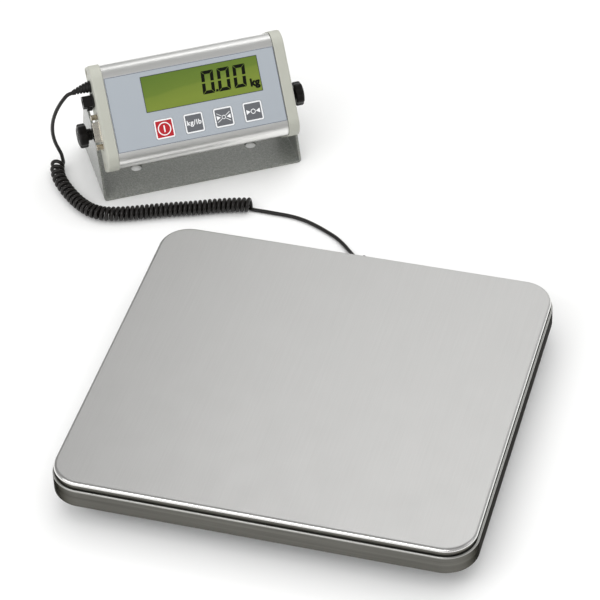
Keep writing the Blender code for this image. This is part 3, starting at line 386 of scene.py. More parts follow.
# %% Display glass
def display_glass():
    made = Finish(
        "display_glass", (0.17, 0.24, 0.04), 0.30,
        Coat_Weight=0.12, Coat_Roughness=0.05, Specular_IOR_Level=0.25,
    )
    place = made.place(turn=DISPLAY_TURN, centre=tuple(AXIS_PLACE))
    parts = made.add("ShaderNodeSeparateXYZ", None, {"Vector": place})
    height = Level(made, parts.socket.node.outputs[2])
    along = Level(made, parts.socket.node.outputs[0])
    drift = made.noise(place, 24.0, 2.0)
    # The painted reflection's boundary climbs slowly to the right of the pane's foot.
    foot, slope, per_metre = 0.0075, 0.11, 30.0
    reflection_climb = (height - foot - along * slope) * per_metre + (drift - 0.5) * 0.10
    share = made.ramp(reflection_climb, (0.20, 1.0), (0.46, 0.72), (0.52, 0.34), (0.95, 0.0))
    made.feed("Base Color", made.mix(share, (0.105, 0.172, 0.024), (0.185, 0.245, 0.036)))
    made.feed("Roughness", 0.20 + drift * 0.06)
    return made.material


# %% Circuit board
def circuit_board():
    made = Finish("circuit_board", (0.012, 0.11, 0.045), 0.42, Coat_Weight=0.3)
    place = made.place((260.0, 260.0, 260.0), turn=DISPLAY_TURN)
    bricks = {"Vector": place, "Scale": 1.0, "Mortar Size": 0.09}
    tracks = made.add("ShaderNodeTexBrick", None, bricks, out=1)
    made.feed("Base Color", made.mix(tracks, (0.010, 0.095, 0.040), (0.030, 0.190, 0.070)))
    made.relief(tracks, 0.00008)
    return made.material


FOIL = front_foil()
GLASS = display_glass()
BOARD = circuit_board()
print("finishes", len(bpy.data.materials))

# %% [markdown]
# ## Making pieces
# Nearly every piece is either a slab with round corners, a turned shape, or a solid from
# the frame whose edges need easing. One helper for each keeps the rest short. A bmesh
# operator makes the shape; the last helper lays it in place and says which body it rides.

# %% Piece helpers
SHARP = math.radians(35)
TINY = 2e-6


def piece(name, shape, place, finish, body, replaces=(), ease=0.0, ease_steps=2):
    """Turn a bmesh into a placed, smooth-shaded object that rides on a body."""
    bmesh.ops.transform(shape, matrix=place, verts=shape.verts)
    bmesh.ops.remove_doubles(shape, verts=shape.verts, dist=TINY)
    bmesh.ops.recalc_face_normals(shape, faces=shape.faces)
    mesh = bpy.data.meshes.new(name)
    shape.to_mesh(mesh)
    shape.free()
    mesh.shade_smooth()
    mesh.set_sharp_from_angle(angle=SHARP)
    made = bpy.data.objects.new(name, mesh)
    for one in finish if isinstance(finish, list) else [finish]:
        mesh.materials.append(one)
    bpy.context.scene.collection.objects.link(made)
    if ease:
        step = made.modifiers.new("ease", "BEVEL")
        step.width, step.segments, step.limit_method = ease, ease_steps, "ANGLE"
        step.angle_limit, step.use_clamp_overlap = SHARP, True
    step = made.modifiers.new("even_shading", "WEIGHTED_NORMAL")
    step.keep_sharp = True
    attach(made, body)
    if replaces:
        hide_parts(*([replaces] if isinstance(replaces, str) else replaces))
    return made


# %% Slabs and turned shapes
def slab(width, height, depth, corner=0.0, edge=0.0, corner_steps=6, edge_steps=3):
    """A flat block: centred in x and y, from z = 0 up, with a softened upper edge."""
    shape = bmesh.new()
    bmesh.ops.create_grid(shape, x_segments=1, y_segments=1, size=0.5)
    bmesh.ops.scale(shape, vec=(width, height, 1.0), verts=shape.verts)
    if corner:
        bmesh.ops.bevel(
            shape, geom=shape.verts[:], offset=corner, affect="VERTICES",
            segments=corner_steps, profile=0.5, material=-1,
        )
    raise_faces(shape, shape.faces[:], depth)
    if edge:
        rim = [e for e in shape.edges if all(abs(v.co.z - depth) < TINY for v in e.verts)]
        bmesh.ops.bevel(
            shape, geom=rim, offset=edge, affect="EDGES",
            segments=edge_steps, profile=0.5, material=-1,
        )
    return shape


def raise_faces(shape, faces, depth):
    """Extrude faces upwards and give back the raised ones."""
    grown = bmesh.ops.extrude_face_region(shape, geom=faces)["geom"]
    points = [g for g in grown if isinstance(g, bmesh.types.BMVert)]
    bmesh.ops.translate(shape, vec=(0.0, 0.0, depth), verts=points)
    return [g for g in grown if isinstance(g, bmesh.types.BMFace)]


def turned(profile, steps=32):
    """A shape spun about z from (radius, level) pairs."""
    shape = bmesh.new()
    line = [shape.verts.new((radius, 0.0, level)) for radius, level in profile]
    edges = [shape.edges.new(pair) for pair in zip(line, line[1:])]
    bmesh.ops.spin(
        shape, geom=line + edges, axis=(0, 0, 1), cent=(0, 0, 0),
        angle=2 * math.pi, steps=steps, use_merge=True,
    )
    return shape


# %% Copies of solids
def copied(node):
    """A merged copy of a solid's mesh, with flat areas joined into single faces."""
    shape = bmesh.new()
    shape.from_mesh(frame["nodes"][node].data)
    bmesh.ops.remove_doubles(shape, verts=shape.verts, dist=TINY)
    bmesh.ops.dissolve_limit(
        shape, angle_limit=math.radians(0.6), verts=shape.verts, edges=shape.edges
    )
    return shape


def eased(node, finish, body, ease=0.0003):
    """Stand a copy with softened edges in for a solid."""
    name = node + "_finished"
    return piece(name, copied(node), Matrix(), finish, body, node, ease)


print("helpers ready")

# %% [markdown]
# ## The lead
# The lead is one length of flexible cord: a tail from the display, a long close helix that
# lies on the table, and a tail to the platform. The helix is drawn by a loop that carries a
# point round the coil's own centre line. All of it is one curve, made one mesh: it leaves
# the display at the boot and lies on the table from the loose first turns on.

# %% Lead sizes and route
CORD_DIAMETER = 0.0032
COIL_OUTSIDE = 0.0124
TURN_PITCH = 0.0040
OPEN_PITCH = 0.0066
OPEN_SHARE = 0.42
STEPS_PER_TURN = 20
BOOT_REACH = 0.0975
BOOT_DROOP = 0.0030
BOOT_PLACE = (-0.0260, 0.0383)
GLAND_TIP = Vector((PLATFORM.translation.x, PLATFORM.translation.y + 0.1590, 0.0274))

BOOT_EXIT_STEPS = [(0.0, 0.0), (0.0047, 0.0013)]
HANGING_ROUTE = [
    (-0.2147, 0.1225, 0.0854), (-0.2186, 0.1217, 0.0792), (-0.2223, 0.1217, 0.0717),
    (-0.2254, 0.1223, 0.0635), (-0.2277, 0.1237, 0.0548), (-0.2291, 0.1257, 0.0460),
    (-0.2296, 0.1282, 0.0373), (-0.2294, 0.1310, 0.0291), (-0.2286, 0.1338, 0.0216),
    (-0.2276, 0.1358, 0.0148),
]
COIL_ROUTE = [
    (-0.2313, 0.1353), (-0.2281, 0.1248), (-0.2225, 0.1143), (-0.2145, 0.1045),
    (-0.2050, 0.0951), (-0.1946, 0.0868), (-0.1832, 0.0807), (-0.1715, 0.0788),
    (-0.1592, 0.0814), (-0.1473, 0.0854), (-0.1358, 0.0902), (-0.1234, 0.0952),
    (-0.1108, 0.0998), (-0.0982, 0.1044), (-0.0858, 0.1095), (-0.0732, 0.1139),
    (-0.0620, 0.1172), (-0.0548, 0.1187),
]
TABLE_ROUTE = [
    (-0.0432, 0.1183, 0.0018), (-0.0341, 0.1180, 0.0018), (-0.0252, 0.1178, 0.0018),
    (-0.0161, 0.1169, 0.0018), (-0.0066, 0.1146, 0.0018), (0.0032, 0.1107, 0.0018),
    (0.0134, 0.1056, 0.0018), (0.0238, 0.0994, 0.0019), (0.0324, 0.0920, 0.0023),
    (0.0402, 0.0836, 0.0028), (0.0470, 0.0745, 0.0060), (0.0528, 0.0660, 0.0118),
    (0.0572, 0.0590, 0.0188),
]
print("route points", len(HANGING_ROUTE) + len(COIL_ROUTE) + len(TABLE_ROUTE))

# %% A smooth route
KNOT_STEPS = 24


def smooth_route(points, spacing):
    """Even points on one Catmull-Rom curve through the given points."""
    knots = [Vector(point) for point in points]
    ends = [2 * knots[0] - knots[1], *knots, 2 * knots[-1] - knots[-2]]
    fine = []
    for first, start, end, last in zip(ends, ends[1:], ends[2:], ends[3:]):
        for step in range(KNOT_STEPS):
            t = step / KNOT_STEPS
            fine.append(
                0.5 * (
                    2 * start + (end - first) * t
                    + (2 * first - 5 * start + 4 * end - last) * t**2
                    + (3 * start - first - 3 * end + last) * t**3
                )
            )
    fine.append(knots[-1])
    lengths = [0.0]
    for before, after in zip(fine, fine[1:]):
        lengths.append(lengths[-1] + (after - before).length)
    count = max(2, round(lengths[-1] / spacing))
    even, at = [], 0
    for index in range(count + 1):
        wanted = lengths[-1] * index / count
        while at < len(fine) - 2 and lengths[at + 1] < wanted:
            at += 1
        share = (wanted - lengths[at]) / (lengths[at + 1] - lengths[at])
        even.append(fine[at].lerp(fine[at + 1], share))
    return even


# %% The helix
FINE = 0.0005


def turns_along(count):
    """How many turns are wound up to each fine step: open at first, then close."""
    closer = TURN_PITCH - OPEN_PITCH
    wound = [0.0]
    for index in range(count):
        share = min(index / count / OPEN_SHARE, 1.0)
        eased_share = share * share * (3 - 2 * share)
        wound.append(wound[-1] + FINE / (OPEN_PITCH + closer * eased_share))
    # The last turn ends under the coil, so that the tail runs out along the table.
    whole = math.floor(wound[-1]) + 0.25
    return [turn * whole / wound[-1] for turn in wound]


def helix():
    """Points of the coil, from its right side down and round, ending along the table."""
    level = COIL_OUTSIDE / 2 + 0.0001
    radius = (COIL_OUTSIDE - CORD_DIAMETER) / 2
    centre = smooth_route([(x, y, level) for x, y in COIL_ROUTE], FINE)
    wound = turns_along(len(centre) - 1)
    steps = round(wound[-1] * STEPS_PER_TURN)
    points, at = [], 0
    for step in range(steps + 1):
        turn = wound[-1] * step / steps
        while at < len(centre) - 2 and wound[at + 1] < turn:
            at += 1
        share = (turn - wound[at]) / (wound[at + 1] - wound[at])
        middle = centre[at].lerp(centre[at + 1], share)
        ahead = (centre[min(at + 6, len(centre) - 1)] - centre[max(at - 6, 0)]).normalized()
        side = Vector((-ahead.y, ahead.x, 0.0))
        angle = -2 * math.pi * turn
        around = math.cos(angle) * side + math.sin(angle) * Vector((0, 0, 1))
        points.append(middle + radius * around)
    print("coil turns", round(wound[-1], 2))
    return points


# %% Join the tails to the coil
TAIL_SPACING = 0.0016
TABLE_SPACING = 0.0025
across = BRACKET.to_3x3() @ Vector((1, 0, 0))
boot_tip = TILT @ Vector((-BOOT_REACH, *BOOT_PLACE)) - Vector((0, 0, BOOT_DROOP * 0.95))
boot_exit = [boot_tip - across * out - Vector((0, 0, down)) for out, down in BOOT_EXIT_STEPS]
gland_exit = [GLAND_TIP + Vector((-0.0003, 0.0050, -0.0009)), GLAND_TIP]
coil = helix()
first_tail = smooth_route([*boot_exit, *HANGING_ROUTE, coil[0], coil[1]], TAIL_SPACING)[:-1]
last_tail = smooth_route([coil[-3], coil[-1], *TABLE_ROUTE, *gland_exit], TABLE_SPACING)[1:]
lead_points = first_tail + coil[1:-1] + last_tail
lead_length = sum((b - a).length for a, b in zip(lead_points, lead_points[1:]))
print("lead length", round(lead_length, 3), "points", len(lead_points))
for name, points in (("first tail", first_tail), ("coil", coil), ("last tail", last_tail)):
    print(name, round(sum((b - a).length for a, b in zip(points, points[1:])), 3))

# %% Draw the lead
def cord_mesh(name, points, diameter):
    """A round tube along one open spline, made a mesh."""
    curve = bpy.data.curves.new(name, "CURVE")
    curve.dimensions = "3D"
    curve.bevel_depth = diameter / 2
    curve.bevel_resolution = 4
    curve.use_fill_caps = True
    spline = curve.splines.new("POLY")
    spline.points.add(len(points) - 1)
    for knot, point in zip(spline.points, points):
        knot.co = (*point, 1.0)
    drawn = bpy.data.objects.new(name, curve)
    bpy.context.scene.collection.objects.link(drawn)
    graph = bpy.context.evaluated_depsgraph_get()
    mesh = bpy.data.meshes.new_from_object(drawn.evaluated_get(graph))
    bpy.data.objects.remove(drawn)
    shape = bmesh.new()
    shape.from_mesh(mesh)
    bmesh.ops.recalc_face_normals(shape, faces=shape.faces)
    shape.to_mesh(mesh)
    shape.free()
    mesh.shade_smooth()
    made = bpy.data.objects.new(name, mesh)
    bpy.context.scene.collection.objects.link(made)
    return made


lead = cord_mesh("lead", lead_points, CORD_DIAMETER)
lead.data.materials.clear()
lead.data.materials.append(CORD_RUBBER)
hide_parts("cord_display_tail", "cord_coil", "cord_platform_tail")
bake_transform(lead)

# %% [markdown]
# ## The platform
# The lid is drawn from one sheet: a round-cornered slab with a soft upper edge, emptied
# from below and given the sheet's thickness. The tray under it is the same slab again, a
# little larger, with its top face inset and raised into the neck that the lid hides.

# %% Lid and tray
LID_RIM = 0.0053
LID_EDGE = 0.0028
LID_CORNER = 0.024
BAND_LIP = 0.0012
BAND_HEIGHT = 0.0156
NECK_INSET = 0.0018
NECK_HEIGHT = 0.0027
LID_SHEET = 0.0012
TRAY_SHEET = 0.0015
TRAY_EDGE = 0.0012
CORNER_STEPS, LID_EDGE_STEPS, TRAY_EDGE_STEPS = 20, 7, 4
# A face that points up less than these is on the round, which gets a painted highlight,
# or on the upright wall, which gets painted shade.
HIGHLIGHT_BELOW = 0.80
UPRIGHT_BELOW = 0.16
low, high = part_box("weighing_plate")
LID_SIZE = high - low
TRAY_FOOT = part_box("base_shell")[0].z
print("lid", [round(c, 4) for c in LID_SIZE], "tray foot", round(TRAY_FOOT, 4))


# %% Shells from slabs
def emptied(shape):
    """Take the underside off, so that a shell is left."""
    under = [f for f in shape.faces if all(abs(v.co.z) < TINY for v in f.verts)]
    bmesh.ops.delete(shape, geom=under, context="FACES")
    return shape


def thicken(made, sheet):
    step = made.modifiers.new("sheet", "SOLIDIFY")
    step.thickness, step.offset = sheet, -1.0
    made.modifiers.move(len(made.modifiers) - 1, 0)


# %% Lid
lid_shape = slab(
    LID_SIZE.x, LID_SIZE.y, LID_RIM, LID_CORNER, LID_EDGE, CORNER_STEPS, LID_EDGE_STEPS
)
lid_shape = emptied(lid_shape)
# Where the sheet rounds the rim it gets a brighter steel, a painted highlight along the
# round; the upright wall under it gets the dark band steel, a painted shade.
lid_shape.normal_update()
for face in lid_shape.faces:
    up = face.normal.z
    face.material_index = int(up < HIGHLIGHT_BELOW) + int(up < UPRIGHT_BELOW)
lid = piece(
    "lid", lid_shape, PLATFORM @ Matrix.Translation((0, 0, high.z - LID_RIM)),
    [LID_STEEL, RIM_HIGHLIGHT_STEEL, SHADED_BAND_STEEL], "plate", "weighing_plate",
)
thicken(lid, LID_SHEET)
print("lid faces", len(lid.data.polygons))

# %% Tray
tray_shape = slab(
    LID_SIZE.x + 2 * BAND_LIP, LID_SIZE.y + 2 * BAND_LIP, BAND_HEIGHT,
    LID_CORNER + BAND_LIP, TRAY_EDGE, CORNER_STEPS, TRAY_EDGE_STEPS,
)
ledge = max(tray_shape.faces, key=lambda f: f.calc_center_median().z)
bmesh.ops.inset_region(tray_shape, faces=[ledge], thickness=NECK_INSET)
raise_faces(tray_shape, [ledge], NECK_HEIGHT)
# The ledge and the deck get the lighter steel, a painted highlight; the rest keeps the dark band
# steel, painted shade.
for face in tray_shape.faces:
    middle = face.calc_center_median().z
    is_ledge = BAND_HEIGHT - BAND_LIP < middle < BAND_HEIGHT + TINY
    is_deck = middle > BAND_HEIGHT + NECK_HEIGHT - TINY
    face.material_index = int(is_ledge or is_deck)
tray = piece(
    "tray", emptied(tray_shape), PLATFORM @ Matrix.Translation((0, 0, TRAY_FOOT)),
    [SHADED_BAND_STEEL, LEDGE_HIGHLIGHT_STEEL], "base", "base_shell",
)
thicken(tray, TRAY_SHEET)
print("tray faces", len(tray.data.polygons))

# %% [markdown]
# ## Feet and gland
# Each foot is a rubber puck with a grip groove, a hollow sole and a steel stem that bears
# on its load cell. The gland is a rubber bush that tapers along the lead, so that the lead
# can't bend sharply where it leaves the tray. Both are turned shapes.

# %% Feet
FOOT_STEM = 0.0060
FOOT_PROFILE = [
    (0.0, 0.0016), (0.0085, 0.0016), (0.0092, 0.0004), (0.0098, 0.0), (0.0126, 0.0),
    (0.0136, 0.0004), (0.0140, 0.0014), (0.0140, 0.0050), (0.0134, 0.0056), (0.0134, 0.0064),
    (0.0140, 0.0070), (0.0140, 0.0098), (0.0134, 0.0112), (0.0118, 0.0125),
    (FOOT_STEM, 0.0125),
]
CORNERS = ("front_left", "front_right", "rear_left", "rear_right")


def under_middle(node, level):
    """The place on a level that is straight under the middle of a solid."""
    low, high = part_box(node)
    return Matrix.Translation(((low.x + high.x) / 2, (low.y + high.y) / 2, level))


for corner in CORNERS:
    node, top = "foot_" + corner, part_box("foot_" + corner)[1].z
    foot = turned([*FOOT_PROFILE, (FOOT_STEM, top), (0.0, top)], 40)
    piece("foot_rubber_" + corner, foot, under_middle(node, 0.0), RUBBER, "base", node)
print("feet", len(CORNERS))

# %% Gland
BACKWARDS = Matrix.Rotation(math.radians(-90), 4, "X")
GLAND_PROFILE = [
    (0.0, -0.0038), (0.0050, -0.0038), (0.0050, -0.0018), (0.0038, -0.0018), (0.0038, 0.0003),
    (0.0046, 0.0003), (0.0050, 0.0007), (0.0050, 0.0017), (0.0046, 0.0021), (0.0038, 0.0026),
    (0.0036, 0.0034), (0.0032, 0.0037), (0.0032, 0.0042), (0.0034, 0.0045), (0.0032, 0.0053),
    (0.0028, 0.0056), (0.0028, 0.0061), (0.0030, 0.0064), (0.0027, 0.0075), (0.0023, 0.0078),
    (0.0, 0.0078),
]
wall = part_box("base_shell")[1].y
gland_place = Matrix.Translation((PLATFORM.translation.x, wall, GLAND_TIP.z)) @ BACKWARDS
gland = turned(GLAND_PROFILE, 32)
piece("lead_gland", gland, gland_place, RUBBER, "base", "cord_gland")
print("gland at", [round(c, 4) for c in gland_place.translation])

# %% [markdown]
# ## Solids that only need softer edges
# The extrusion, its end caps, the bracket, the knobs and the small fittings already have
# their real shape. A real edge is never razor sharp, and it is the small round on it that
# catches the light, so a merged copy with eased edges stands in for each of them.

# %% Eased copies
EASED = [
    (ALUMINIUM, "anodised", 0.0003, ["housing"]),
    (CAP_PLASTIC, "cap_plastic", 0.0004, ["end_cap_left", "end_cap_right", "battery_door"]),
    (HAMMER_PAINT, "hammer_paint", 0.0004, ["bracket"]),
    (BLACK_PLASTIC, "black_plastic", 0.0006, ["knob_left", "knob_right"]),
    (BLACK_PLASTIC, "black_plastic", 0.0003, ["power_inlet"]),
    (INSERT_PLASTIC, "black_plastic", 0.0002, ["serial_port_insert"]),
    (RUBBER, "rubber", 0.0003, ["dust_cap", "pivot_washer_left", "pivot_washer_right"]),
    (SHELL_NICKEL, "nickel", 0.0002, ["serial_port"]),
    (KEY_RED, "key_red", 0.00012, ["key_power"]),
    (KEY_GREY, "key_grey", 0.00012, ["key_units", "key_hold", "key_zero"]),
]
for finish, slot, ease, nodes in EASED:
    for node in nodes:
        eased(node, finish, frame["nodes"][node]["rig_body"], ease)
print("eased copies", sum(len(row[3]) for row in EASED))

# %% [markdown]
# ## Solids that keep their mesh
# Flat sheets and the parts inside need no new shape, only a finish, which is put in the
# material slot that each solid already has.

# %% Finishes on the solids
KEPT = [
    (FOIL, ["overlay"]),
    (GALVANISED, ["bottom_plate", "front_rail", "rear_rail"]),
    (CELL_STEEL, [n for n in frame["nodes"] if n.startswith("load_cell_")]),
    (RUBBER, [n for n in frame["nodes"] if n.startswith("plate_pad_")]),
    (BOARD, ["summing_board", "main_board"]),
    (BLACK_PLASTIC, ["battery_tray"]),
    (BATTERY_WRAP, [n for n in frame["nodes"] if n.startswith("battery_cell_")]),
    (GLASS, ["lcd_module"]),
]
for finish, nodes in KEPT:
    for node in nodes:
        for place in frame["nodes"][node].material_slots:
            place.material = finish
print("kept solids", sum(len(row[1]) for row in KEPT))

# %% [markdown]
# ## Screws
# The screws that hold the end caps and the bottom sheet have a low head with a socket in
# it. One turned profile serves them all, laid along the axis of each.

# %% Screws
SCREW_PROFILE = [
    (0.0, 0.0), (0.0015, 0.0), (0.0015, 0.0045), (0.0027, 0.0045), (0.0029, 0.0047),
    (0.0029, 0.0053), (0.0026, 0.0057), (0.0021, 0.0059), (0.0014, 0.0059), (0.0013, 0.0048),
    (0.0, 0.0048),
]
SCREW_OUT = 0.0757
SCREW_DEPTH = -0.0180
SCREW_HEIGHTS = {"top": 0.0495, "bottom": -0.0285}
SIDES = (("left", -1, LEFTWARDS), ("right", 1, RIGHTWARDS))
UPSIDE_DOWN = Matrix.Rotation(math.radians(180), 4, "X")


def screw(node, place, body):
    made = turned(SCREW_PROFILE, 24)
    piece(node + "_socket", made, place, NICKEL, body, node)


for word, side, turn in SIDES:
    for level, height in SCREW_HEIGHTS.items():
        place = on_display(side * SCREW_OUT, SCREW_DEPTH, height, turn)
        screw(f"cap_screw_{word}_{level}", place, "display")
for corner in CORNERS:
    node = "bottom_screw_" + corner
    screw(node, under_middle(node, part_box(node)[1].z) @ UPSIDE_DOWN, "base")
print("screws", len(SIDES) * len(SCREW_HEIGHTS) + len(CORNERS))

# %% [markdown]
# ## Boot, posts and contacts on the left cap
# The boot where the lead leaves the display is a taper with round ribs, which hangs a
# little. Beside the serial socket stand two hexagon posts with a threaded hole, and the
# socket shows nine contacts in two rows.

# %% Boot
CAP_FACE = 0.0825
CAP_GAP = 0.0003
BOOT_RIBS = 6
BOOT_LENGTH = 0.0155
BOOT_RADIUS, BOOT_TAPER = 0.0051, 0.0027
BOOT_BEND = 1.6


def boot_profile():
    points = [(0.0, 0.0), (0.0050, 0.0), (0.0052, 0.0003)]
    step = BOOT_LENGTH / BOOT_RIBS
    for rib in range(BOOT_RIBS):
        radius = BOOT_RADIUS - BOOT_TAPER * rib / (BOOT_RIBS - 1)
        start = rib * step
        points += [(radius, start + step * 0.30), (radius - 0.0002, start + step * 0.52)]
        points += [(radius - 0.0010, start + step * 0.60), (radius - 0.0010, start + step * 0.84)]
        points += [(radius - 0.0003, start + step * 0.92)]
    return points[:-3] + [(0.0019, BOOT_LENGTH), (0.0, BOOT_LENGTH)]


def drooped(shape, length, droop):
    """Let a turned sleeve hang: each slice slides down, more towards the tip."""
    for vert in shape.verts:
        drop = droop * max(vert.co.z / length, 0.0) ** BOOT_BEND
        vert.co.x -= drop * math.cos(DISPLAY_TILT)
        vert.co.y += drop * math.sin(DISPLAY_TILT)
    return shape


boot_place = on_display(-CAP_FACE - CAP_GAP, *BOOT_PLACE, LEFTWARDS)
boot = drooped(turned(boot_profile(), 32), BOOT_LENGTH, BOOT_DROOP)
piece("lead_boot", boot, boot_place, RUBBER, "display", "cord_boot")
print("boot ribs", BOOT_RIBS)

# %% Posts
PORT_DEPTH = -0.0280
POST_FOOT = -0.0830
POST_HEIGHTS = {"upper": 0.0125, "lower": -0.0125}
POST_RADIUS, POST_LENGTH = 0.0026, 0.0048
POST_WALL, POST_HOLE = 0.0010, 0.0030
for name, up in POST_HEIGHTS.items():
    post = bmesh.new()
    bmesh.ops.create_circle(post, cap_ends=True, segments=6, radius=POST_RADIUS)
    head = raise_faces(post, post.faces[:], POST_LENGTH)
    bmesh.ops.inset_region(post, faces=head, thickness=POST_WALL)
    raise_faces(post, head, -POST_HOLE)
    node = "jack_screw_" + name
    place = on_display(POST_FOOT, PORT_DEPTH, up, LEFTWARDS)
    piece(node + "_post", post, place, NICKEL, "display", node, 0.0002)
print("posts", list(POST_HEIGHTS))

# %% Contacts
CONTACT_PITCH = 0.00277
CONTACT_ROW = 0.00142
CONTACT_FACE = -0.0873
CONTACT_PROFILE = [
    (0.0, 0.0), (0.00062, 0.0), (0.00062, 0.0002), (0.00034, 0.0002), (0.0003, 0.00005),
    (0.0, 0.00005),
]
contacts = [(CONTACT_ROW, (i - 1.5) * CONTACT_PITCH) for i in range(4)]
contacts += [(-CONTACT_ROW, (i - 2.0) * CONTACT_PITCH) for i in range(5)]
for index, (depth, up) in enumerate(contacts):
    contact = turned(CONTACT_PROFILE, 12)
    place = on_display(CONTACT_FACE, PORT_DEPTH + depth, up, LEFTWARDS)
    piece(f"contact_{index + 1}", contact, place, BRASS, "display", ())
print("contacts", len(contacts))

# %% [markdown]
# ## The glass and its digits
# The pane lies flush in the foil. Its digits are seven-segment zeros: each segment is a
# strip whose ends are mitred inwards, so that neighbours nearly meet at a corner, and the
# whole digit leans a little to the right. The strips sit a few hundredths of a millimetre
# proud, and gathered parts a hair above each other, so that no two faces lie in one plane.

# %% Pane
FACE_DEPTH = -0.0400
PANE_CENTRE = (0.0072, 0.0225)
PANE_SIZE = (0.0994, 0.0294)
PANE_DEPTH = 0.0006
PRINT = 0.00006
HAIR = 0.000004
pane = slab(*PANE_SIZE, PANE_DEPTH, 0.0005, 0.0, 3)
pane_place = on_display(PANE_CENTRE[0], FACE_DEPTH + PANE_DEPTH, PANE_CENTRE[1])
piece("display_pane", pane, pane_place, GLASS, "display", "lcd_window")
print("pane", PANE_SIZE)


# %% Gathering flat parts
def gathered(parts):
    """One bmesh from several, each with its own place and a hair above the one before."""
    whole = bmesh.new()
    for index, (part, place) in enumerate(parts):
        lifted = Matrix.Translation((0.0, 0.0, index * HAIR)) @ place
        bmesh.ops.transform(part, matrix=lifted, verts=part.verts)
        mesh = bpy.data.meshes.new("part")
        part.to_mesh(mesh)
        part.free()
        whole.from_mesh(mesh)
        bpy.data.meshes.remove(mesh)
    return whole


def flat(x, y, degrees=0.0):
    return Matrix.Translation((x, y, 0.0)) @ Matrix.Rotation(math.radians(degrees), 4, "Z")


# %% Digits
DIGIT_HEIGHT = 0.0192
DIGIT_WIDTH = 0.0104
DIGIT_PITCH = 0.0136
SEGMENT = 0.0028
SEGMENT_GAP = 0.00025
WAIST = 0.0007
LEAN = 0.076
FIRST_DIGIT = (0.0068, 0.0134)
POINT_SIZE = 0.0021
POINT_PLACE = (0.0191, 0.0148)


def segment(start, end, inner, cuts):
    """A strip along the outer edge of a digit, with its cut ends mitred inwards."""
    run = Vector(end) - Vector(start)
    strip = bmesh.new()
    bmesh.ops.create_grid(strip, x_segments=1, y_segments=1, size=0.5)
    bmesh.ops.scale(strip, vec=(run.length, SEGMENT, 1.0), verts=strip.verts)
    for vert in strip.verts:
        if vert.co.y * inner > 0 and cuts[int(vert.co.x > 0)]:
            vert.co.x -= math.copysign(SEGMENT, vert.co.x)
    raise_faces(strip, strip.faces[:], PRINT)
    middle = (Vector(start) + Vector(end)) / 2
    return strip, flat(middle.x, middle.y, math.degrees(math.atan2(run.y, run.x)))


def zero():
    """The six lit segments of a nought, from its lower left corner."""
    half, gap = SEGMENT / 2, SEGMENT_GAP
    wide, high, waist = DIGIT_WIDTH, DIGIT_HEIGHT, DIGIT_HEIGHT / 2
    parts = [segment((gap, half), (wide - gap, half), 1, (1, 1))]
    parts.append(segment((gap, high - half), (wide - gap, high - half), -1, (1, 1)))
    for x, inner in ((half, -1), (wide - half, 1)):
        parts.append(segment((x, gap), (x, waist - WAIST), inner, (1, 0)))
        parts.append(segment((x, waist + WAIST), (x, high - gap), inner, (0, 1)))
    return gathered(parts)


# %% Place the digits
lean = Matrix(((1, LEAN, 0, 0), (0, 1, 0, 0), (0, 0, 1, 0), (0, 0, 0, 1)))
digits_place = on_display(0.0, FACE_DEPTH, 0.0)
for index in range(3):
    corner = flat(FIRST_DIGIT[0] + index * DIGIT_PITCH, FIRST_DIGIT[1])
    place = digits_place @ corner @ lean
    piece(f"digit_{index + 1}", zero(), place, LCD_BLACK, "display", ())
point = slab(POINT_SIZE, POINT_SIZE, PRINT, 0.0003, 0.0, 2)
place = digits_place @ flat(*POINT_PLACE) @ lean
piece("decimal_point", point, place, LCD_BLACK, "display", ())
print("digit height", DIGIT_HEIGHT)

# %% [markdown]
# ## Printing
# Words and signs are drawn as thin shapes, so that they stay crisp from any distance.
# Text comes from the built-in typeface and is made a mesh at once. Thickening a glyph's own
# outline spoils small bowls such as that of the g, so heavier words are copies of the plain
# word, set in a small ring.

# %% Lettering
def lettering(words, size, apart=1.0, depth=PRINT):
    text = bpy.data.curves.new(words, "FONT")
    text.body, text.size, text.extrude = words, size, depth / 2
    text.space_character = apart
    text.align_x = "CENTER"
    drawn = bpy.data.objects.new(words, text)
    bpy.context.scene.collection.objects.link(drawn)
    graph = bpy.context.evaluated_depsgraph_get()
    mesh = bpy.data.meshes.new_from_object(drawn.evaluated_get(graph))
    bpy.data.objects.remove(drawn)
    shape = bmesh.new()
    shape.from_mesh(mesh)
    bpy.data.meshes.remove(mesh)
    bmesh.ops.translate(shape, vec=(0.0, 0.0, depth / 2), verts=shape.verts)
    return shape


def bold(words, size, spread, y=0.0, apart=1.0):
    """Heavier lettering: copies of the words set in a small ring round their place."""
    angles = [math.radians(45 * turn) for turn in range(8)]
    ring = [(spread * math.cos(angle), spread * math.sin(angle)) for angle in angles]
    return [(lettering(words, size, apart), flat(right, y + up)) for right, up in ring]


# %% Outlines
def outlined(shape, band, depth=PRINT):
    """Keep only a band along the edge of a flat shape, and give it a thickness."""
    bmesh.ops.inset_region(
        shape, faces=shape.faces[:], thickness=band, use_even_offset=True, use_boundary=True
    )
    inner = max(shape.faces, key=lambda face: len(face.verts))
    bmesh.ops.delete(shape, geom=[inner], context="FACES")
    raise_faces(shape, shape.faces[:], depth)
    return shape


def flat_outline(width, height, corner, band, depth=PRINT):
    shape = bmesh.new()
    bmesh.ops.create_grid(shape, x_segments=1, y_segments=1, size=0.5)
    bmesh.ops.scale(shape, vec=(width, height, 1.0), verts=shape.verts)
    bmesh.ops.bevel(
        shape, geom=shape.verts[:], offset=corner, affect="VERTICES",
        segments=6, profile=0.5, material=-1,
    )
    return outlined(shape, band, depth)


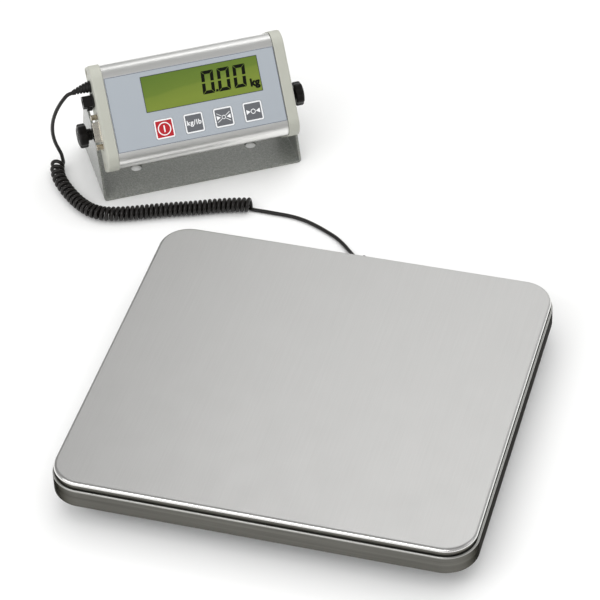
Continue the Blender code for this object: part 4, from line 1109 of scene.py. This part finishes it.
# %% Unit sign, border and edge line
UNIT_PLACE = (0.0516, 0.0127)
UNIT_SIZE, UNIT_SPREAD = 0.0088, 0.00048
BORDER_SIZE, BORDER_BAND = (0.1002, 0.0302), 0.00055
FOIL_LOW, FOIL_HIGH = -0.0210, 0.0420
EDGE_SIZE, EDGE_BAND = (0.1446, FOIL_HIGH - FOIL_LOW - 0.0002), 0.00045
unit = gathered(bold("kg", UNIT_SIZE, UNIT_SPREAD))
piece("unit_sign", unit, digits_place @ flat(*UNIT_PLACE), LCD_BLACK, "display", ())
border = flat_outline(*BORDER_SIZE, 0.0006, BORDER_BAND)
place = digits_place @ flat(*PANE_CENTRE)
piece("pane_border", border, place, BORDER_PRINT, "display", ())
edge_line = flat_outline(*EDGE_SIZE, 0.0005, EDGE_BAND)
place = digits_place @ flat(0.0, (FOIL_LOW + FOIL_HIGH) / 2)
piece("foil_edge", edge_line, place, EDGE_PRINT, "display", ())
print("foil edge", EDGE_SIZE)

# %% [markdown]
# ## Signs on the keys
# Each key carries a white outline and one sign: a ring with a bar for power, the two units,
# arrows at a crossed ring for hold, arrows at a ring for zero. A sign is gathered from flat
# parts and rides on its own key, so that it moves when the key is pressed.

# %% Key signs
KEY_FRONT = -0.0402
KEY_HEIGHT = -0.0080
KEY_X = {"power": -0.0308, "units": -0.0054, "hold": 0.0200, "zero": 0.0454}
KEY_SIDE, KEY_CORNER, KEY_BAND = 0.0160, 0.0016, 0.0011
BAR_SIZE = (0.0011, 0.0058)
STROKE_SIZE, STROKE_OUT = (0.0046, 0.00045), 0.0045
STROKE_TURNS = (34, 146, 214, 326)


def triangle(x, degrees, size):
    shape = bmesh.new()
    bmesh.ops.create_circle(shape, cap_ends=True, segments=3, radius=size)
    raise_faces(shape, shape.faces[:], PRINT)
    return shape, flat(x, 0.0, degrees)


def arrows(spread, size):
    """Two solid triangles that point at each other."""
    return [triangle(-spread, -90.0, size), triangle(spread, 90.0, size)]


def circle_outline(radius, band):
    shape = bmesh.new()
    bmesh.ops.create_circle(shape, cap_ends=True, segments=40, radius=radius)
    return outlined(shape, band)


def stroke(turn):
    """A short line that points outwards from the middle of a key."""
    return slab(*STROKE_SIZE, PRINT), flat(0, 0, turn) @ flat(STROKE_OUT, 0)


# %% Place the signs
signs = {
    "power": [
        (circle_outline(0.0056, 0.00085), flat(0, 0)),
        (slab(*BAR_SIZE, PRINT, 0.0004, 0.0, 3), flat(0, 0)),
    ],
    "units": bold("kg/lb", 0.0058, 0.00012, -0.0014, 1.13),
    "hold": [
        *arrows(0.0048, 0.0022), (circle_outline(0.0017, 0.0005), flat(0, 0)),
        *[stroke(turn) for turn in STROKE_TURNS],
    ],
    "zero": [*arrows(0.0046, 0.0023), (circle_outline(0.0021, 0.0006), flat(0, 0))],
}
for name, parts in signs.items():
    parts.append((flat_outline(KEY_SIDE, KEY_SIDE, KEY_CORNER, KEY_BAND), flat(0, 0)))
    place = on_display(KEY_X[name], KEY_FRONT, KEY_HEIGHT)
    piece(f"sign_{name}", gathered(parts), place, WHITE_PRINT, "key_" + name, ())
print("signs", list(signs))

# %% [markdown]
# ## Knob faces
# Each grip wheel has a shallow dish in its outer face with a raised middle, left by the
# pin that pushes it out of its mould.

# %% Knob faces
KNOB_FACE = 0.0975
DISH_PROFILE = [
    (0.0, -0.0012), (0.0078, -0.0012), (0.0080, 0.0001), (0.0074, 0.0004), (0.0066, 0.0004),
    (0.0060, -0.0004), (0.0034, -0.0004), (0.0030, 0.0003), (0.0022, 0.0005), (0.0, 0.0005),
]
for word, side, turn in SIDES:
    dish = turned(DISH_PROFILE, 40)
    place = on_display(side * KNOB_FACE, 0.0, 0.0, turn)
    piece(f"knob_dish_{word}", dish, place, BLACK_PLASTIC, f"knob_{word}", ())
print("knob faces", len(SIDES))

# %% [markdown]
# ## Floor and light
# A wide pale floor and large soft panels: one behind, which the brushed lid mirrors, one in
# front for the face of the display, and a weaker one on the right. Two narrow strips draw
# the bright lines along the rounded edges. The world adds an even fill, as white walls do,
# and the ceiling panel only fills: it isn't mirrored, so the rounded metal keeps its shape.

# %% Floor
FLOOR_REACH = 6.0
floor_mesh = bpy.data.meshes.new("floor")
shape = bmesh.new()
bmesh.ops.create_grid(shape, x_segments=1, y_segments=1, size=FLOOR_REACH)
shape.to_mesh(floor_mesh)
shape.free()
floor = bpy.data.objects.new("floor", floor_mesh)
bpy.context.scene.collection.objects.link(floor)
paper = Finish("studio_paper", (0.90, 0.90, 0.895), 0.7)
paper.shades(paper.noise(paper.place(), 3.0), 0.004)
paper.feed("Specular IOR Level", 0.2)
floor_mesh.materials.append(paper.material)
print("floor", 2 * FLOOR_REACH)

# %% World
FILL = 0.42
world = bpy.context.scene.world or bpy.data.worlds.new("studio")
bpy.context.scene.world = world
world.use_nodes = True
background = world.node_tree.nodes["Background"]
background.inputs["Color"].default_value = (1.0, 1.0, 1.0, 1.0)
background.inputs["Strength"].default_value = FILL
print("fill", FILL)


# %% Panels
def panel(name, place, aim, size, radiance):
    """A soft rectangular light; radiance is how bright its face looks."""
    light = bpy.data.lights.new(name, "AREA")
    light.shape = "RECTANGLE"
    light.size, light.size_y = size
    light.energy = radiance * math.pi * size[0] * size[1]
    lamp = bpy.data.objects.new(name, light)
    lamp.location = place
    lamp.rotation_euler = (Vector(aim) - Vector(place)).to_track_quat("-Z", "Y").to_euler()
    bpy.context.scene.collection.objects.link(lamp)
    return lamp


panel("rear_panel", (0.46, 2.00, 1.48), (0.05, -0.1, 0.0), (2.6, 2.3), 0.66)
panel("front_panel", (-0.75, -2.05, 1.15), (0.0, 0.0, 0.0), (3.2, 1.5), 0.85)
panel("edge_strip", (-0.50, -1.45, 1.55), (0.0, -0.1, 0.0), (3.0, 0.28), 4.2)
panel("top_strip", (-0.10, 1.42, 2.16), (-0.12, 0.17, 0.05), (1.7, 0.42), 1.2)
panel("side_panel", (2.0, 0.2, 1.4), (0.0, 0.0, 0.0), (1.0, 1.4), 0.5)
ceiling = panel("ceiling_panel", (0.0, 0.0, 3.2), (0.0, 0.0, 0.0), (5.0, 5.0), 1.15)
ceiling.visible_glossy = False
print("lights", len(bpy.data.lights))
